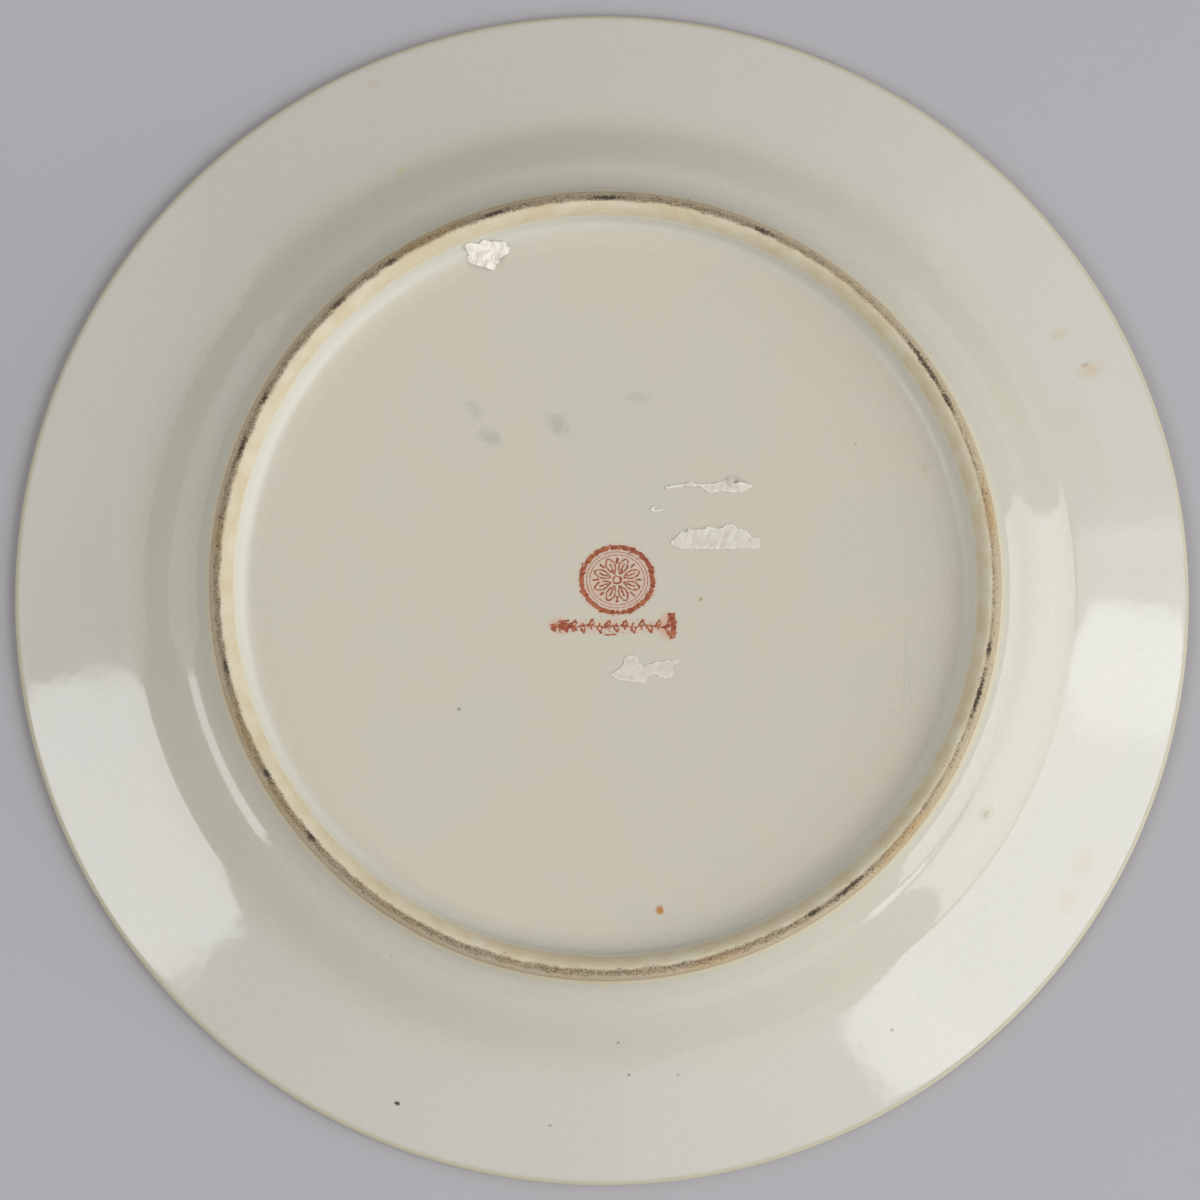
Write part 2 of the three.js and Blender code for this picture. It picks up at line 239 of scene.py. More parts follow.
def displace(piece, name, strength, texture=None, middle=0.5, direction="Z", group=""):
    modifier = piece.modifiers.new(name, "DISPLACE")
    modifier.texture = texture
    modifier.texture_coords = "LOCAL"
    modifier.direction = direction
    modifier.strength = strength
    modifier.mid_level = middle
    modifier.vertex_group = group


def warp(piece, sizes):
    """The slow kiln warp that every coat of the plate shares. It only lifts, so the lip stays up."""
    displace(piece, "Kiln warp", sizes.warp, cloud_texture("Kiln warp", 0.085), middle=0.2)


def weigh(piece, name, weight_at):
    """A vertex group whose weight is worked out from each vertex's place."""
    group = piece.vertex_groups.new(name=name)
    for vertex in piece.data.vertices:
        weight = weight_at(vertex.co)
        if weight > 0:
            group.add([vertex.index], min(weight, 1.0), "REPLACE")
    return name


def ramp(value, start, end):
    """0 at start, 1 at end, with a soft run between."""
    share = np.clip((value - start) / (end - start), 0.0, 1.0)
    return share * share * (3 - 2 * share)


# ---------------------------------------------------------------- profiles


def bezier(points, steps):
    """Points along a Bezier curve, by repeated division of its control points."""
    made = []
    for i in range(steps + 1):
        t = i / steps
        level = [Vector(p) for p in points]
        while len(level) > 1:
            level = [a.lerp(b, t) for a, b in zip(level, level[1:])]
        made.append((level[0].x, level[0].y))
    return made


def middle_of(box):
    """X and Y of a box's middle."""
    return (box[0].x + box[1].x) / 2, (box[0].y + box[1].y) / 2


def straight(start, end, steps):
    return [tuple(Vector(start).lerp(Vector(end), i / steps)) for i in range(steps + 1)]


def joined_line(*stretches):
    """Several stretches of a profile as one, without the corners that they share."""
    line = list(stretches[0])
    for stretch in stretches[1:]:
        line += stretch[1:]
    return line


def offset(line, distances):
    """Each point moved square to the line, to its right as the line runs."""
    moved = []
    for i, (radius, height) in enumerate(line):
        before, after = line[max(i - 1, 0)], line[min(i + 1, len(line) - 1)]
        along = (Vector(after) - Vector(before)).normalized()
        distance = distances[i] if isinstance(distances, list) else distances
        if radius == 0:
            moved.append((0.0, height - math.copysign(distance, along.x)))
        else:
            moved.append((radius + along.y * distance, height - along.x * distance))
    return moved


def lip_arc(s, start, end, steps):
    """Round the lip, between two angles above the horizontal, in degrees."""
    bend = s.lip / 2
    angles = [math.radians(start + (end - start) * i / steps) for i in range(steps + 1)]
    return [(s.radius - bend + bend * math.cos(a), bend + bend * math.sin(a)) for a in angles]


def face_line(s):
    """The eating face, from the middle of the well to the lowest line of the lip."""
    shoulder = (s.radius - 24.5 * MM, 5.4 * MM)
    lip = (s.radius - s.lip / 2, 0.0)
    slope = shoulder[1] / (lip[0] - shoulder[0])
    lead = 9 * MM
    cavetto = [(s.well_flat, s.well_height), (s.well_flat + 12 * MM, s.well_height),
        (shoulder[0] - lead, shoulder[1] + lead * slope), shoulder]
    well = straight((0.0, s.well_height), cavetto[0], 14)
    return joined_line(well, bezier(cavetto, 26), straight(shoulder, lip, 14))


def sloped(start, slopes, steps):
    """A line that climbs inwards from start, with its slope in degrees given at radii in mm."""
    given = sorted(slopes)
    radii = np.linspace(start[0], slopes[-1][0] * MM, steps + 1)
    angles = np.interp(radii / MM, [radius for radius, _ in given], [angle for _, angle in given])
    rises = np.tan(np.radians((angles[1:] + angles[:-1]) / 2)) * -np.diff(radii)
    heights = start[1] + np.concatenate([[0.0], np.cumsum(rises)])
    return [(float(radius), float(height)) for radius, height in zip(radii, heights)]


# Radius in mm and slope in degrees of the back, from the rim in to the foot ring.
CAVETTO = [
    (106, 16), (103, 24), (101, 33), (98.5, 37), (95, 36), (93, 30), (91.8, 25), (91, 24),
    (90, 28), (89, 34),
]


def back_line(s):
    """The back, from the lip in to where the glaze stops on the outside of the foot ring."""
    lip_top = lip_arc(s, 75, 75, 1)[0]
    shoulder = (s.shoulder_radius, s.shoulder_height)
    slope = (shoulder[1] - lip_top[1]) / (lip_top[0] - shoulder[0])
    lead = 3 * MM
    rim = straight(lip_top, (shoulder[0] + lead, shoulder[1] - lead * slope), 16)
    turn = sloped(rim[-1], [(rim[-1][0] / MM, math.degrees(math.atan(slope))), *CAVETTO], 60)
    foot = turn[-1]
    wall = [foot, (foot[0] - 1.7 * MM, foot[1] + 1.1 * MM), (85.7 * MM, foot[1] + 2.1 * MM),
        (s.bare_outside_radius, s.bare_outside_height)]
    return joined_line(rim, turn, bezier(wall, 22))


def foot_line(s):
    """The bare crest of the foot ring, from the back glaze to the base glaze."""
    crest_out = (s.crest_radius + s.crest_width / 2, s.height)
    crest_in = (s.crest_radius - s.crest_width / 2, s.height)
    outside = [(s.bare_outside_radius, s.bare_outside_height),
        (s.bare_outside_radius - 0.2 * MM, s.height - 1.1 * MM), crest_out]
    inside = [crest_in, (s.bare_inside_radius + 1 * MM, s.height - 0.4 * MM),
        (s.bare_inside_radius, s.bare_inside_height)]
    return joined_line(bezier(outside, 14), straight(crest_out, crest_in, 4), bezier(inside, 12))


def base_line(s):
    """The sunk base, from the edge of its glaze to the middle."""
    fillet = [
        (s.bare_inside_radius, s.bare_inside_height),
        (s.bare_inside_radius - 0.5 * MM, 21.3 * MM),
        (s.base_flat + 6.8 * MM, s.base_height),
        (s.base_flat, s.base_height),
    ]
    return joined_line(bezier(fillet, 30), straight(fillet[-1], (0.0, s.base_height), 14))


def coat(name, line, thickness, steps, thin_start, thin_end):
    """A closed coat on a line, feathered to nothing over 1.6 mm where an end is thin."""
    feather = 1.6 * MM
    run = [0.0]
    for here, there in zip(line, line[1:]):
        run.append(run[-1] + (Vector(there) - Vector(here)).length)
    depths = []
    for along in run:
        share = 1.0
        if thin_start:
            share = min(share, along / feather)
        if thin_end:
            share = min(share, (run[-1] - along) / feather)
        depths.append(thickness * math.sqrt(max(share, 0.0)))
    outside = offset(line, depths)
    soaked = 0.05 * MM
    inside = offset(line, -soaked)
    if line[0][0] == 0:
        loop = outside + inside[::-1]
    elif line[-1][0] == 0:
        loop = inside[::-1] + outside
    else:
        loop = outside + inside[::-1] + outside[:1]
    return turned(name, loop, steps)


def height_on(line, radius):
    """Height of a line at a radius."""
    ordered = sorted(line)
    return float(np.interp(radius, [p[0] for p in ordered], [p[1] for p in ordered]))


# ---------------------------------------------------------------- sheets cut to an outline


def wobble(x, y, size, seed):
    """Smooth noise from -1 to 1 at each place, with features of about the size given, in mm."""
    return np.array([noise.noise(Vector((a / size, b / size, seed))) for a, b in zip(x, y)])


def inside_depth(x, y, outline):
    """How far each place lies inside a closed outline, below 0 outside it."""
    nearest = np.full(len(x), 1e9)
    within = np.zeros(len(x), bool)
    for (ax, ay), (bx, by) in zip(outline, outline[1:] + outline[:1]):
        nearest = np.minimum(nearest, segment_distance(x, y, (ax, ay), (bx, by)))
        crosses = (ay > y) != (by > y)
        if ay != by:
            within ^= crosses & (x < (bx - ax) * (y - ay) / (by - ay) + ax)
    return np.where(within, nearest, -nearest)


def segment_distance(x, y, a, b):
    dx, dy = b[0] - a[0], b[1] - a[1]
    long = max(dx * dx + dy * dy, 1e-9)
    share = np.clip(((x - a[0]) * dx + (y - a[1]) * dy) / long, 0, 1)
    return np.hypot(x - a[0] - share * dx, y - a[1] - share * dy)


def stroke_depth(x, y, points, width):
    """How far each place lies inside a brush stroke through the points. Widths are in mm."""
    nearest = np.full(len(x), 1e9)
    for a, b in zip(points, points[1:]):
        nearest = np.minimum(nearest, segment_distance(x, y, a, b))
    return width / 2 - nearest


def cut_sheet(name, middle, size, cell, level, depth_at, face_down=False):
    """A flat grid with its faces cut away wherever depth_at is below 0. Outline lengths are mm.

    The piece keeps two numbers at each vertex: depth, how far it lies inside the outline in mm, and
    tone, which depth_at gives for the finish."""
    deselect()
    cells = [max(2, round(size[0] / cell)), max(2, round(size[1] / cell))]
    bpy.ops.mesh.primitive_grid_add(x_subdivisions=cells[0], y_subdivisions=cells[1], size=1)
    piece = named(name)
    edit()
    bpy.ops.transform.resize(value=(size[0], size[1], 1))
    bpy.ops.transform.translate(value=(middle[0], middle[1], level))
    leave_edit()
    centres = np.array([polygon.center for polygon in piece.data.polygons])
    depth = depth_at(centres[:, 0] / MM, centres[:, 1] / MM)[0]
    piece.data.polygons.foreach_set("select", depth < 0)
    bpy.context.tool_settings.mesh_select_mode = BY_FACE
    bpy.ops.object.mode_set(mode="EDIT")
    bpy.ops.mesh.delete(type="FACE")
    bpy.context.tool_settings.mesh_select_mode = BY_VERTEX
    bpy.ops.mesh.select_all(action="SELECT")
    bpy.ops.mesh.vertices_smooth(factor=0.5, repeat=2)
    if face_down:
        bpy.ops.mesh.flip_normals()
    leave_edit()
    if not piece.data.polygons:
        raise RuntimeError(f"{name} was cut away altogether")
    places = np.array([vertex.co for vertex in piece.data.vertices])
    depth, tone = depth_at(places[:, 0] / MM, places[:, 1] / MM)
    for attribute, values in (("depth", depth), ("tone", tone)):
        made = piece.data.attributes.new(attribute, "FLOAT", "POINT")
        made.data.foreach_set("value", np.asarray(values, np.float32))
    return piece


def press(piece, carrier, face_down=False):
    """Presses a sheet straight down, or up, onto the surface that carries it."""
    modifier = piece.modifiers.new("Press", "SHRINKWRAP")
    modifier.target = carrier
    modifier.wrap_method = "PROJECT"
    modifier.use_project_z = True
    modifier.use_positive_direction = face_down
    modifier.use_negative_direction = not face_down


def thicken(piece, thickness):
    modifier = piece.modifiers.new("Thickness", "SOLIDIFY")
    modifier.thickness = thickness
    modifier.offset = 1.0
    modifier.use_even_offset = False


def dome(piece, height, reach):
    """Raises a sheet of enamel towards its middle, over a reach in mm from its edge."""
    depth = np.zeros(len(piece.data.vertices), np.float32)
    piece.data.attributes["depth"].data.foreach_get("value", depth)
    group = piece.vertex_groups.new(name="Dome")
    for index, value in enumerate(depth):
        weight = math.sqrt(min(max(value / reach, 0.0), 1.0))
        if weight > 0:
            group.add([index], weight, "REPLACE")
    displace(piece, "Dome", height, middle=0.0, direction="NORMAL", group="Dome")


# ---------------------------------------------------------------- node helpers


def feed(tree, node, inputs):
    """Sets a node's inputs: each is a value or another node's socket."""
    for name, value in inputs.items():
        if isinstance(value, bpy.types.NodeSocket):
            tree.links.new(value, node.inputs[name])
        else:
            node.inputs[name].default_value = value
    return node


def add(tree, kind, inputs=None, **settings):
    """A shader node with its settings and inputs."""
    node = tree.nodes.new("ShaderNode" + kind)
    node.location = (180 * len(tree.nodes), 0)
    for setting, value in settings.items():
        setattr(node, setting, value)
    return feed(tree, node, inputs or {})


def maths(tree, operation, *values):
    return add(tree, "Math", dict(enumerate(values)), operation=operation).outputs[0]


def vectors(tree, operation, *values):
    return add(tree, "VectorMath", dict(enumerate(values)), operation=operation).outputs


def mix(tree, share, a, b, how="MIX"):
    """Two colours mixed by a share. Plain colours have three numbers."""
    a, b = (tuple(c) + (1.0,) if not isinstance(c, bpy.types.NodeSocket) else c for c in (a, b))
    inputs = {0: share, 6: a, 7: b}
    return add(tree, "Mix", inputs, data_type="RGBA", blend_type=how, clamp_factor=True).outputs[2]


def smooth_range(tree, value, start, end):
    inputs = {"Value": value, "From Min": start, "From Max": end}
    return add(tree, "MapRange", inputs, interpolation_type="SMOOTHSTEP").outputs[0]


def cloud(tree, place, scale, detail=2.0, roughness=0.5):
    inputs = {"Vector": place, "Scale": scale, "Detail": detail, "Roughness": roughness}
    return add(tree, "TexNoise", inputs).outputs[0]


def new_group(name, output, kind, **inputs):
    """A node group with a place, further inputs with their defaults, and one output of a kind.

    Returns the group, its inputs by name, and its output's socket. Underscores stand for spaces."""
    group = bpy.data.node_groups.new(name, "ShaderNodeTree")
    kinds = {3: "Vector", 4: "Color"}
    for socket, default in {"Place": (0, 0, 0), **inputs}.items():
        own_kind = kinds[len(default)] if isinstance(default, tuple) else "Float"
        made = group.interface.new_socket(socket.replace("_", " "), in_out="INPUT",
            socket_type="NodeSocket" + own_kind)
        made.default_value = default
    group.interface.new_socket(output, in_out="OUTPUT", socket_type="NodeSocket" + kind)
    source = group.nodes.new("NodeGroupInput")
    sink = group.nodes.new("NodeGroupOutput")
    return group, source.outputs, sink.inputs[0]


def use(tree, group_name, **inputs):
    """Places a node group and returns its output. An input's spaces are written as underscores."""
    node = tree.nodes.new("ShaderNodeGroup")
    node.node_tree = bpy.data.node_groups[group_name]
    node.location = (180 * len(tree.nodes), -200)
    return feed(tree, node, {name.replace("_", " "): inputs[name] for name in inputs}).outputs[0]


def spot_group():
    """A ragged, soft edged spot: an ellipse with a centre, a reach along each axis and a turn."""
    tree, given, out = new_group("Spot", "Mask", "Float", Centre=(0, 0, 0), Reach=(1, 1, 1), Turn=0.0,
        Softness=0.3, Raggedness=0.3, Grain=1000.0)
    from_centre = vectors(tree, "SUBTRACT", given["Place"], given["Centre"])[0]
    turn = maths(tree, "MULTIPLY", given["Turn"], -1.0)
    turned_place = add(tree, "VectorRotate", {"Vector": from_centre, "Angle": turn},
        rotation_type="Z_AXIS").outputs[0]
    share = vectors(tree, "DIVIDE", turned_place, given["Reach"])[0]
    distance = vectors(tree, "LENGTH", share)["Value"]
    ragged = maths(tree, "SUBTRACT", cloud(tree, given["Place"], given["Grain"], 3.0, 0.65), 0.5)
    edge = maths(tree, "MULTIPLY_ADD", ragged, given["Raggedness"], distance)
    far = maths(tree, "ADD", 1.0, given["Softness"])
    near = maths(tree, "SUBTRACT", 1.0, given["Softness"])
    tree.links.new(smooth_range(tree, edge, far, near), out)


def band_group():
    """A band round the plate's axis, with a wavering edge."""
    tree, given, out = new_group("Band", "Mask", "Float", Radius=0.08, Half_width=0.001,
        Softness=0.0005, Waver=0.0, Grain=200.0)
    flat = vectors(tree, "MULTIPLY", given["Place"], (1.0, 1.0, 0.0))[0]
    radius = vectors(tree, "LENGTH", flat)["Value"]
    ragged = maths(tree, "SUBTRACT", cloud(tree, given["Place"], given["Grain"], 3.0, 0.6), 0.5)
    wavering = maths(tree, "MULTIPLY_ADD", ragged, given["Waver"], radius)
    away = maths(tree, "ABSOLUTE", maths(tree, "SUBTRACT", wavering, given["Radius"]))
    far = maths(tree, "ADD", given["Half width"], given["Softness"])
    tree.links.new(smooth_range(tree, away, far, given["Half width"]), out)


def speck_group():
    """Small round specks, one in some of the cells of a pattern."""
    tree, given, out = new_group("Specks", "Mask", "Float", Scale=100.0, Share=0.3, Size=0.2)
    cells = add(tree, "TexVoronoi", {"Vector": given["Place"], "Scale": given["Scale"]})
    chance = add(tree, "SeparateColor", {"Color": cells.outputs["Color"]}).outputs
    size = maths(tree, "MULTIPLY", given["Size"], chance[1])
    dot = smooth_range(tree, cells.outputs["Distance"], size, maths(tree, "MULTIPLY", size, 0.4))
    chosen = maths(tree, "LESS_THAN", chance[0], given["Share"])
    tree.links.new(maths(tree, "MULTIPLY", dot, chosen), out)


def tone_group():
    """Two tones of one finish, clouded at a large and a small scale."""
    tree, given, out = new_group("Clouded tone", "Color", "Color", Tone=(1, 1, 1, 1),
        Other_tone=(1, 1, 1, 1), Clouds=20.0, Grain=600.0)
    large = smooth_range(tree, cloud(tree, given["Place"], given["Clouds"], 4.0, 0.6), 0.30, 0.70)
    small = cloud(tree, given["Place"], given["Grain"], 4.0, 0.6)
    share = maths(tree, "MULTIPLY_ADD", maths(tree, "SUBTRACT", small, 0.5), 0.9, large)
    tree.links.new(mix(tree, share, given["Tone"], given["Other tone"]), out)


def peel_group():
    """The faint orange peel and pits of a fired glaze, as a height."""
    tree, given, out = new_group("Orange peel", "Height", "Float", Scale=300.0)
    coarse = cloud(tree, given["Place"], given["Scale"], 1.0)
    fine_scale = maths(tree, "MULTIPLY", given["Scale"], 6.0)
    fine = cloud(tree, given["Place"], fine_scale, 1.0)
    height = maths(tree, "MULTIPLY_ADD", fine, 0.12, coarse)
    pits = use(tree, "Specks", Place=given["Place"], Scale=given["Scale"], Share=0.06, Size=0.16)
    tree.links.new(maths(tree, "MULTIPLY_ADD", pits, -0.25, height), out)


def build_groups():
    for make in (spot_group, band_group, speck_group, tone_group, peel_group):
        make()


def new_material(name):
    """A material without nodes but for its place coordinates: returns it, its tree and the place."""
    material = bpy.data.materials.new(name)
    material.use_nodes = True
    tree = material.node_tree
    tree.nodes.clear()
    return material, tree, add(tree, "TexCoord").outputs["Object"]


def close_material(material, tone, roughness, height=None, bump=0.1, metallic=0.0, **constants):
    """Gives a material its shader and output. The bump's distance is in mm.

    A plain number stays on the shader's own socket. A constant's spaces are written as underscores."""
    tree = material.node_tree
    inputs = {"Base Color": tone, "Roughness": roughness, "Metallic": metallic}
    inputs.update({name.replace("_", " "): constants[name] for name in constants})
    if height is not None:
        bumps = {"Strength": 1.0, "Distance": bump * MM, "Height": height}
        inputs["Normal"] = add(tree, "Bump", bumps).outputs[0]
    shader = add(tree, "BsdfPrincipled", inputs)
    tree.links.new(shader.outputs[0], add(tree, "OutputMaterial").inputs["Surface"])
    return material


def attribute(tree, name):
    """A number that a piece keeps at each vertex."""
    return add(tree, "Attribute", attribute_name=name).outputs["Fac"]


# ---------------------------------------------------------------- finishes


def at(bearing, radius, height=0.0):
    """A place on the plate by its bearing in degrees and its radius and height in mm."""
    turn = math.radians(bearing)
    return Vector((radius * math.cos(turn), radius * math.sin(turn), height)) * MM


def tint_spot(tree, place, under, tint, centre, reach, turn=0.0, strength=1.0, **edge):
    """Lays a spot of another colour over a colour. The reach is in mm and the turn in degrees."""
    size = (reach[0] * MM, reach[1] * MM, 1.0)
    mask = use(tree, "Spot", Place=place, Centre=centre, Reach=size, Turn=math.radians(turn), **edge)
    return overlay(tree, under, tint, mask, strength)


def overlay(tree, under, tint, mask, strength):
    """Lays another colour over a colour where the mask is, at most as strong as given."""
    return mix(tree, maths(tree, "MULTIPLY", mask, strength), under, tint)


def band(tree, place, radius, half_width, softness, waver=0.0, grain=200.0):
    """A mask on a band round the plate. The radius is in metres, and the widths are in mm."""
    return use(tree, "Band", Place=place, Radius=radius, Half_width=half_width * MM,
        Softness=softness * MM, Waver=waver * MM, Grain=grain)


def glaze_surface(tree, place, colours):
    """The clouded grey ivory of the glaze with its finest dark specks."""
    tone = use(tree, "Clouded tone", Place=place, Tone=(*colours.glaze, 1.0),
        Other_tone=(*colours.glaze_cool, 1.0), Clouds=34.0, Grain=420.0)
    mottle = smooth_range(tree, cloud(tree, place, 1000.0, 3.0, 0.65), 0.40, 0.70)
    tone = overlay(tree, tone, (0.50, 0.43, 0.30), mottle, 0.16)
    specks = use(tree, "Specks", Place=place, Scale=130.0, Share=0.10, Size=0.075)
    return overlay(tree, tone, (0.22, 0.17, 0.10), specks, 0.45)


def close_glaze(material, place, tone, smoothest, fillet=None):
    """Gives a glaze its gloss, a little uneven and duller on the fillet, and its orange peel."""
    tree = material.node_tree
    rough = smooth_range(tree, cloud(tree, place, 90.0), 0.3, 0.8)
    roughness = maths(tree, "MULTIPLY_ADD", rough, 0.05, smoothest)
    if fillet:
        roughness = maths(tree, "MULTIPLY_ADD", fillet, 0.25, roughness)
    peel = use(tree, "Orange peel", Place=place, Scale=260.0)
    return close_material(material, tone, roughness, peel, 0.02, IOR=1.5, Specular_IOR_Level=0.5)


CLAY_TINT = (0.66, 0.56, 0.37)
SMUDGE = (0.32, 0.33, 0.29)
BROWN = (0.34, 0.22, 0.10)
TAN = (0.56, 0.40, 0.20)
YELLOW_SPECK = (0.58, 0.48, 0.14)
OLIVE = (0.42, 0.36, 0.20)
DIRT = (0.115, 0.08, 0.045)
BLACK_SPECK = (0.03, 0.025, 0.02)
ORANGE_SPECK = (0.50, 0.20, 0.04)
GREY_SPECK = (0.20, 0.17, 0.14)

# Bearing in degrees, radius in mm, reach in mm round and outwards, colour and strength.
BACK_SPOTS = [
    (-111.9, 120.9, 0.55, 0.40, BLACK_SPECK, 1.0),
    (24.5, 119.0, 1.3, 2.6, TAN, 0.45),
    (25.2, 118.3, 0.4, 1.0, BROWN, 0.40),
    (29.5, 116.0, 1.1, 1.5, TAN, 0.40),
    (15.0, 112.0, 9.0, 2.6, TAN, 0.10),
    (20.5, 109.0, 3.0, 3.0, TAN, 0.12),
    (-31.0, 96.0, 1.6, 1.3, OLIVE, 0.45),
    (-31.0, 96.2, 0.6, 0.5, BROWN, 0.40),
    (-29.7, 121.0, 3.0, 2.4, TAN, 0.22),
    (-33.9, 122.5, 2.6, 2.0, TAN, 0.24),
    (-88.4, 98.7, 0.30, 0.25, GREY_SPECK, 0.8),
    (-87.2, 106.0, 0.32, 0.25, GREY_SPECK, 0.8),
    (-81.5, 107.0, 0.28, 0.28, GREY_SPECK, 0.7),
    (-95.8, 117.5, 0.30, 0.25, GREY_SPECK, 0.6),
    (-57.0, 115.0, 0.40, 0.30, GREY_SPECK, 0.6),
    (116.0, 103.0, 0.8, 0.7, YELLOW_SPECK, 0.45),
    (114.5, 125.0, 1.4, 1.0, TAN, 0.25),
]

# X and Y in mm, reach in mm, turn in degrees, colour and strength.
BASE_SPOTS = [
    (11.5, -70.1, 0.65, 0.75, 0, ORANGE_SPECK, 0.95),
    (-28.4, 37.7, 1.9, 1.3, -50, SMUDGE, 0.24),
    (-24.9, 31.8, 2.0, 1.4, -30, SMUDGE, 0.36),
    (-10.6, 34.7, 2.4, 1.6, -35, SMUDGE, 0.40),
    (7.0, 40.5, 2.4, 1.0, 0, SMUDGE, 0.22),
    (20.5, -3.3, 0.42, 0.36, 0, (0.38, 0.25, 0.08), 0.75),
    (-31.6, -27.1, 0.35, 0.30, 0, GREY_SPECK, 0.7),
    (69.3, 25.5, 0.85, 0.80, 0, OLIVE, 0.30),
]


# X in mm of the middle of a faint scratch, and its turn in degrees.
SCRATCHES = [(64.4, 88), (65.4, 93)]


def back_glaze_material(s, colours):
    material, tree, place = new_material("Back glaze")
    tone = glaze_surface(tree, place, colours)
    # Painted shade: the glaze is made a little darker in a band round the cavetto, and the rest of the
    # back glaze a little bluer.
    cavetto = band(tree, place, 93 * MM, 8, 9, 4, 40.0)
    cavetto_painted_shade = mix(tree, cavetto, (0.99, 1.02, 1.09), (0.975, 0.995, 1.0))
    tone = mix(tree, 1.0, tone, cavetto_painted_shade, "MULTIPLY")
    edge = band(tree, place, s.bare_outside_radius - 0.3 * MM, 0.5, 1.1, 1.6, 260.0)
    tone = overlay(tree, tone, CLAY_TINT, edge, 0.8)
    lip = band(tree, place, s.radius, 0.5, 0.9, 0.5)
    tone = overlay(tree, tone, (0.50, 0.44, 0.30), lip, 0.35)
    for bearing, radius, along, across, tint, strength in BACK_SPOTS:
        tone = tint_spot(tree, place, tone, tint, at(bearing, radius), (across, along), bearing, strength,
            Softness=0.8, Raggedness=2.2, Grain=1100.0)
    return close_glaze(material, place, tone, 0.06)


def mark_halo(tree, place, under, colours):
    """The pale red that bled out of the mark, round the rosette and along the twig."""
    low, high = MARK_BOX
    bleed = 0.3
    reach = ((high.x - low.x) / 2 / MM + bleed, (high.y - low.y) / 2 / MM + bleed)
    tone = tint_spot(tree, place, under, colours.halo, (*middle_of(MARK_BOX), 0.0), reach,
        strength=0.38, Softness=0.10, Raggedness=0.10, Grain=900.0)
    low, high = TWIG_BOX
    x, y = middle_of(TWIG_BOX)
    spots = [
        (x, (high.x - low.x) / 2 / MM, 1.7, 0.30),
        (low.x + 1.6 * MM, 2.4, 1.9, 0.45),
        (high.x - 1.9 * MM, 1.9, 2.9, 0.6),
    ]
    for x, along, across, strength in spots:
        tone = tint_spot(tree, place, tone, colours.halo, (x, y, 0.0), (along, across), strength=strength,
            Softness=0.28, Raggedness=0.5, Grain=700.0)
    return tone


def base_glaze_material(s, colours):
    material, tree, place = new_material("Base glaze")
    tone = glaze_surface(tree, place, colours)
    edge = band(tree, place, s.bare_inside_radius + 0.5 * MM, 0.4, 0.5, 1.0, 220.0)
    # Painted highlight: a paler band on the fillet just inside the bare foot, all round the base.
    fillet_painted_highlight = band(tree, place, s.bare_inside_radius - 0.3 * MM, 0.7, 2.0, 0.8, 160.0)
    tone = overlay(tree, tone, (0.67, 0.64, 0.55), fillet_painted_highlight, 0.75)
    tone = overlay(tree, tone, CLAY_TINT, edge, 0.85)
    tone = mark_halo(tree, place, tone, colours)
    for x, y, along, across, turn, tint, strength in BASE_SPOTS:
        tone = tint_spot(tree, place, tone, tint, (x * MM, y * MM, 0.0), (along, across), turn, strength,
            Softness=0.7, Raggedness=2.8, Grain=620.0)
    for x, turn in SCRATCHES:
        tone = tint_spot(tree, place, tone, SMUDGE, (x * MM, -20 * MM, 0.0), (9.0, 0.28), turn, 0.10,
            Softness=0.6, Raggedness=0.6, Grain=500.0)
    fillet = band(tree, place, s.bare_inside_radius - 2.5 * MM, 2.5, 3)
    return close_glaze(material, place, tone, 0.10, fillet)


def face_glaze_material(colours):
    material, tree, place = new_material("Face glaze")
    return close_glaze(material, place, glaze_surface(tree, place, colours), 0.10)


# Bearing in degrees where the crest is black with grit, with half its length in mm.
GRIT_PATCHES = [
    (34, 6.0), (28, 2.5), (-17, 4.0), (-10, 1.5), (-52, 3.5), (-58, 1.5), (160, 2.6), (152, 1.0),
    (-167, 1.4), (-150, 1.6), (-139, 1.2), (134, 1.6), (124, 1.2), (107, 2.5), (90, 3.0), (66, 2.0),
]
OCHRE_PATCHES = [(173, 4.0), (-157, 6.5), (-146, 5.0), (-74, 6.0), (-41, 8.0), (118, 9.0), (10, 7.0)]


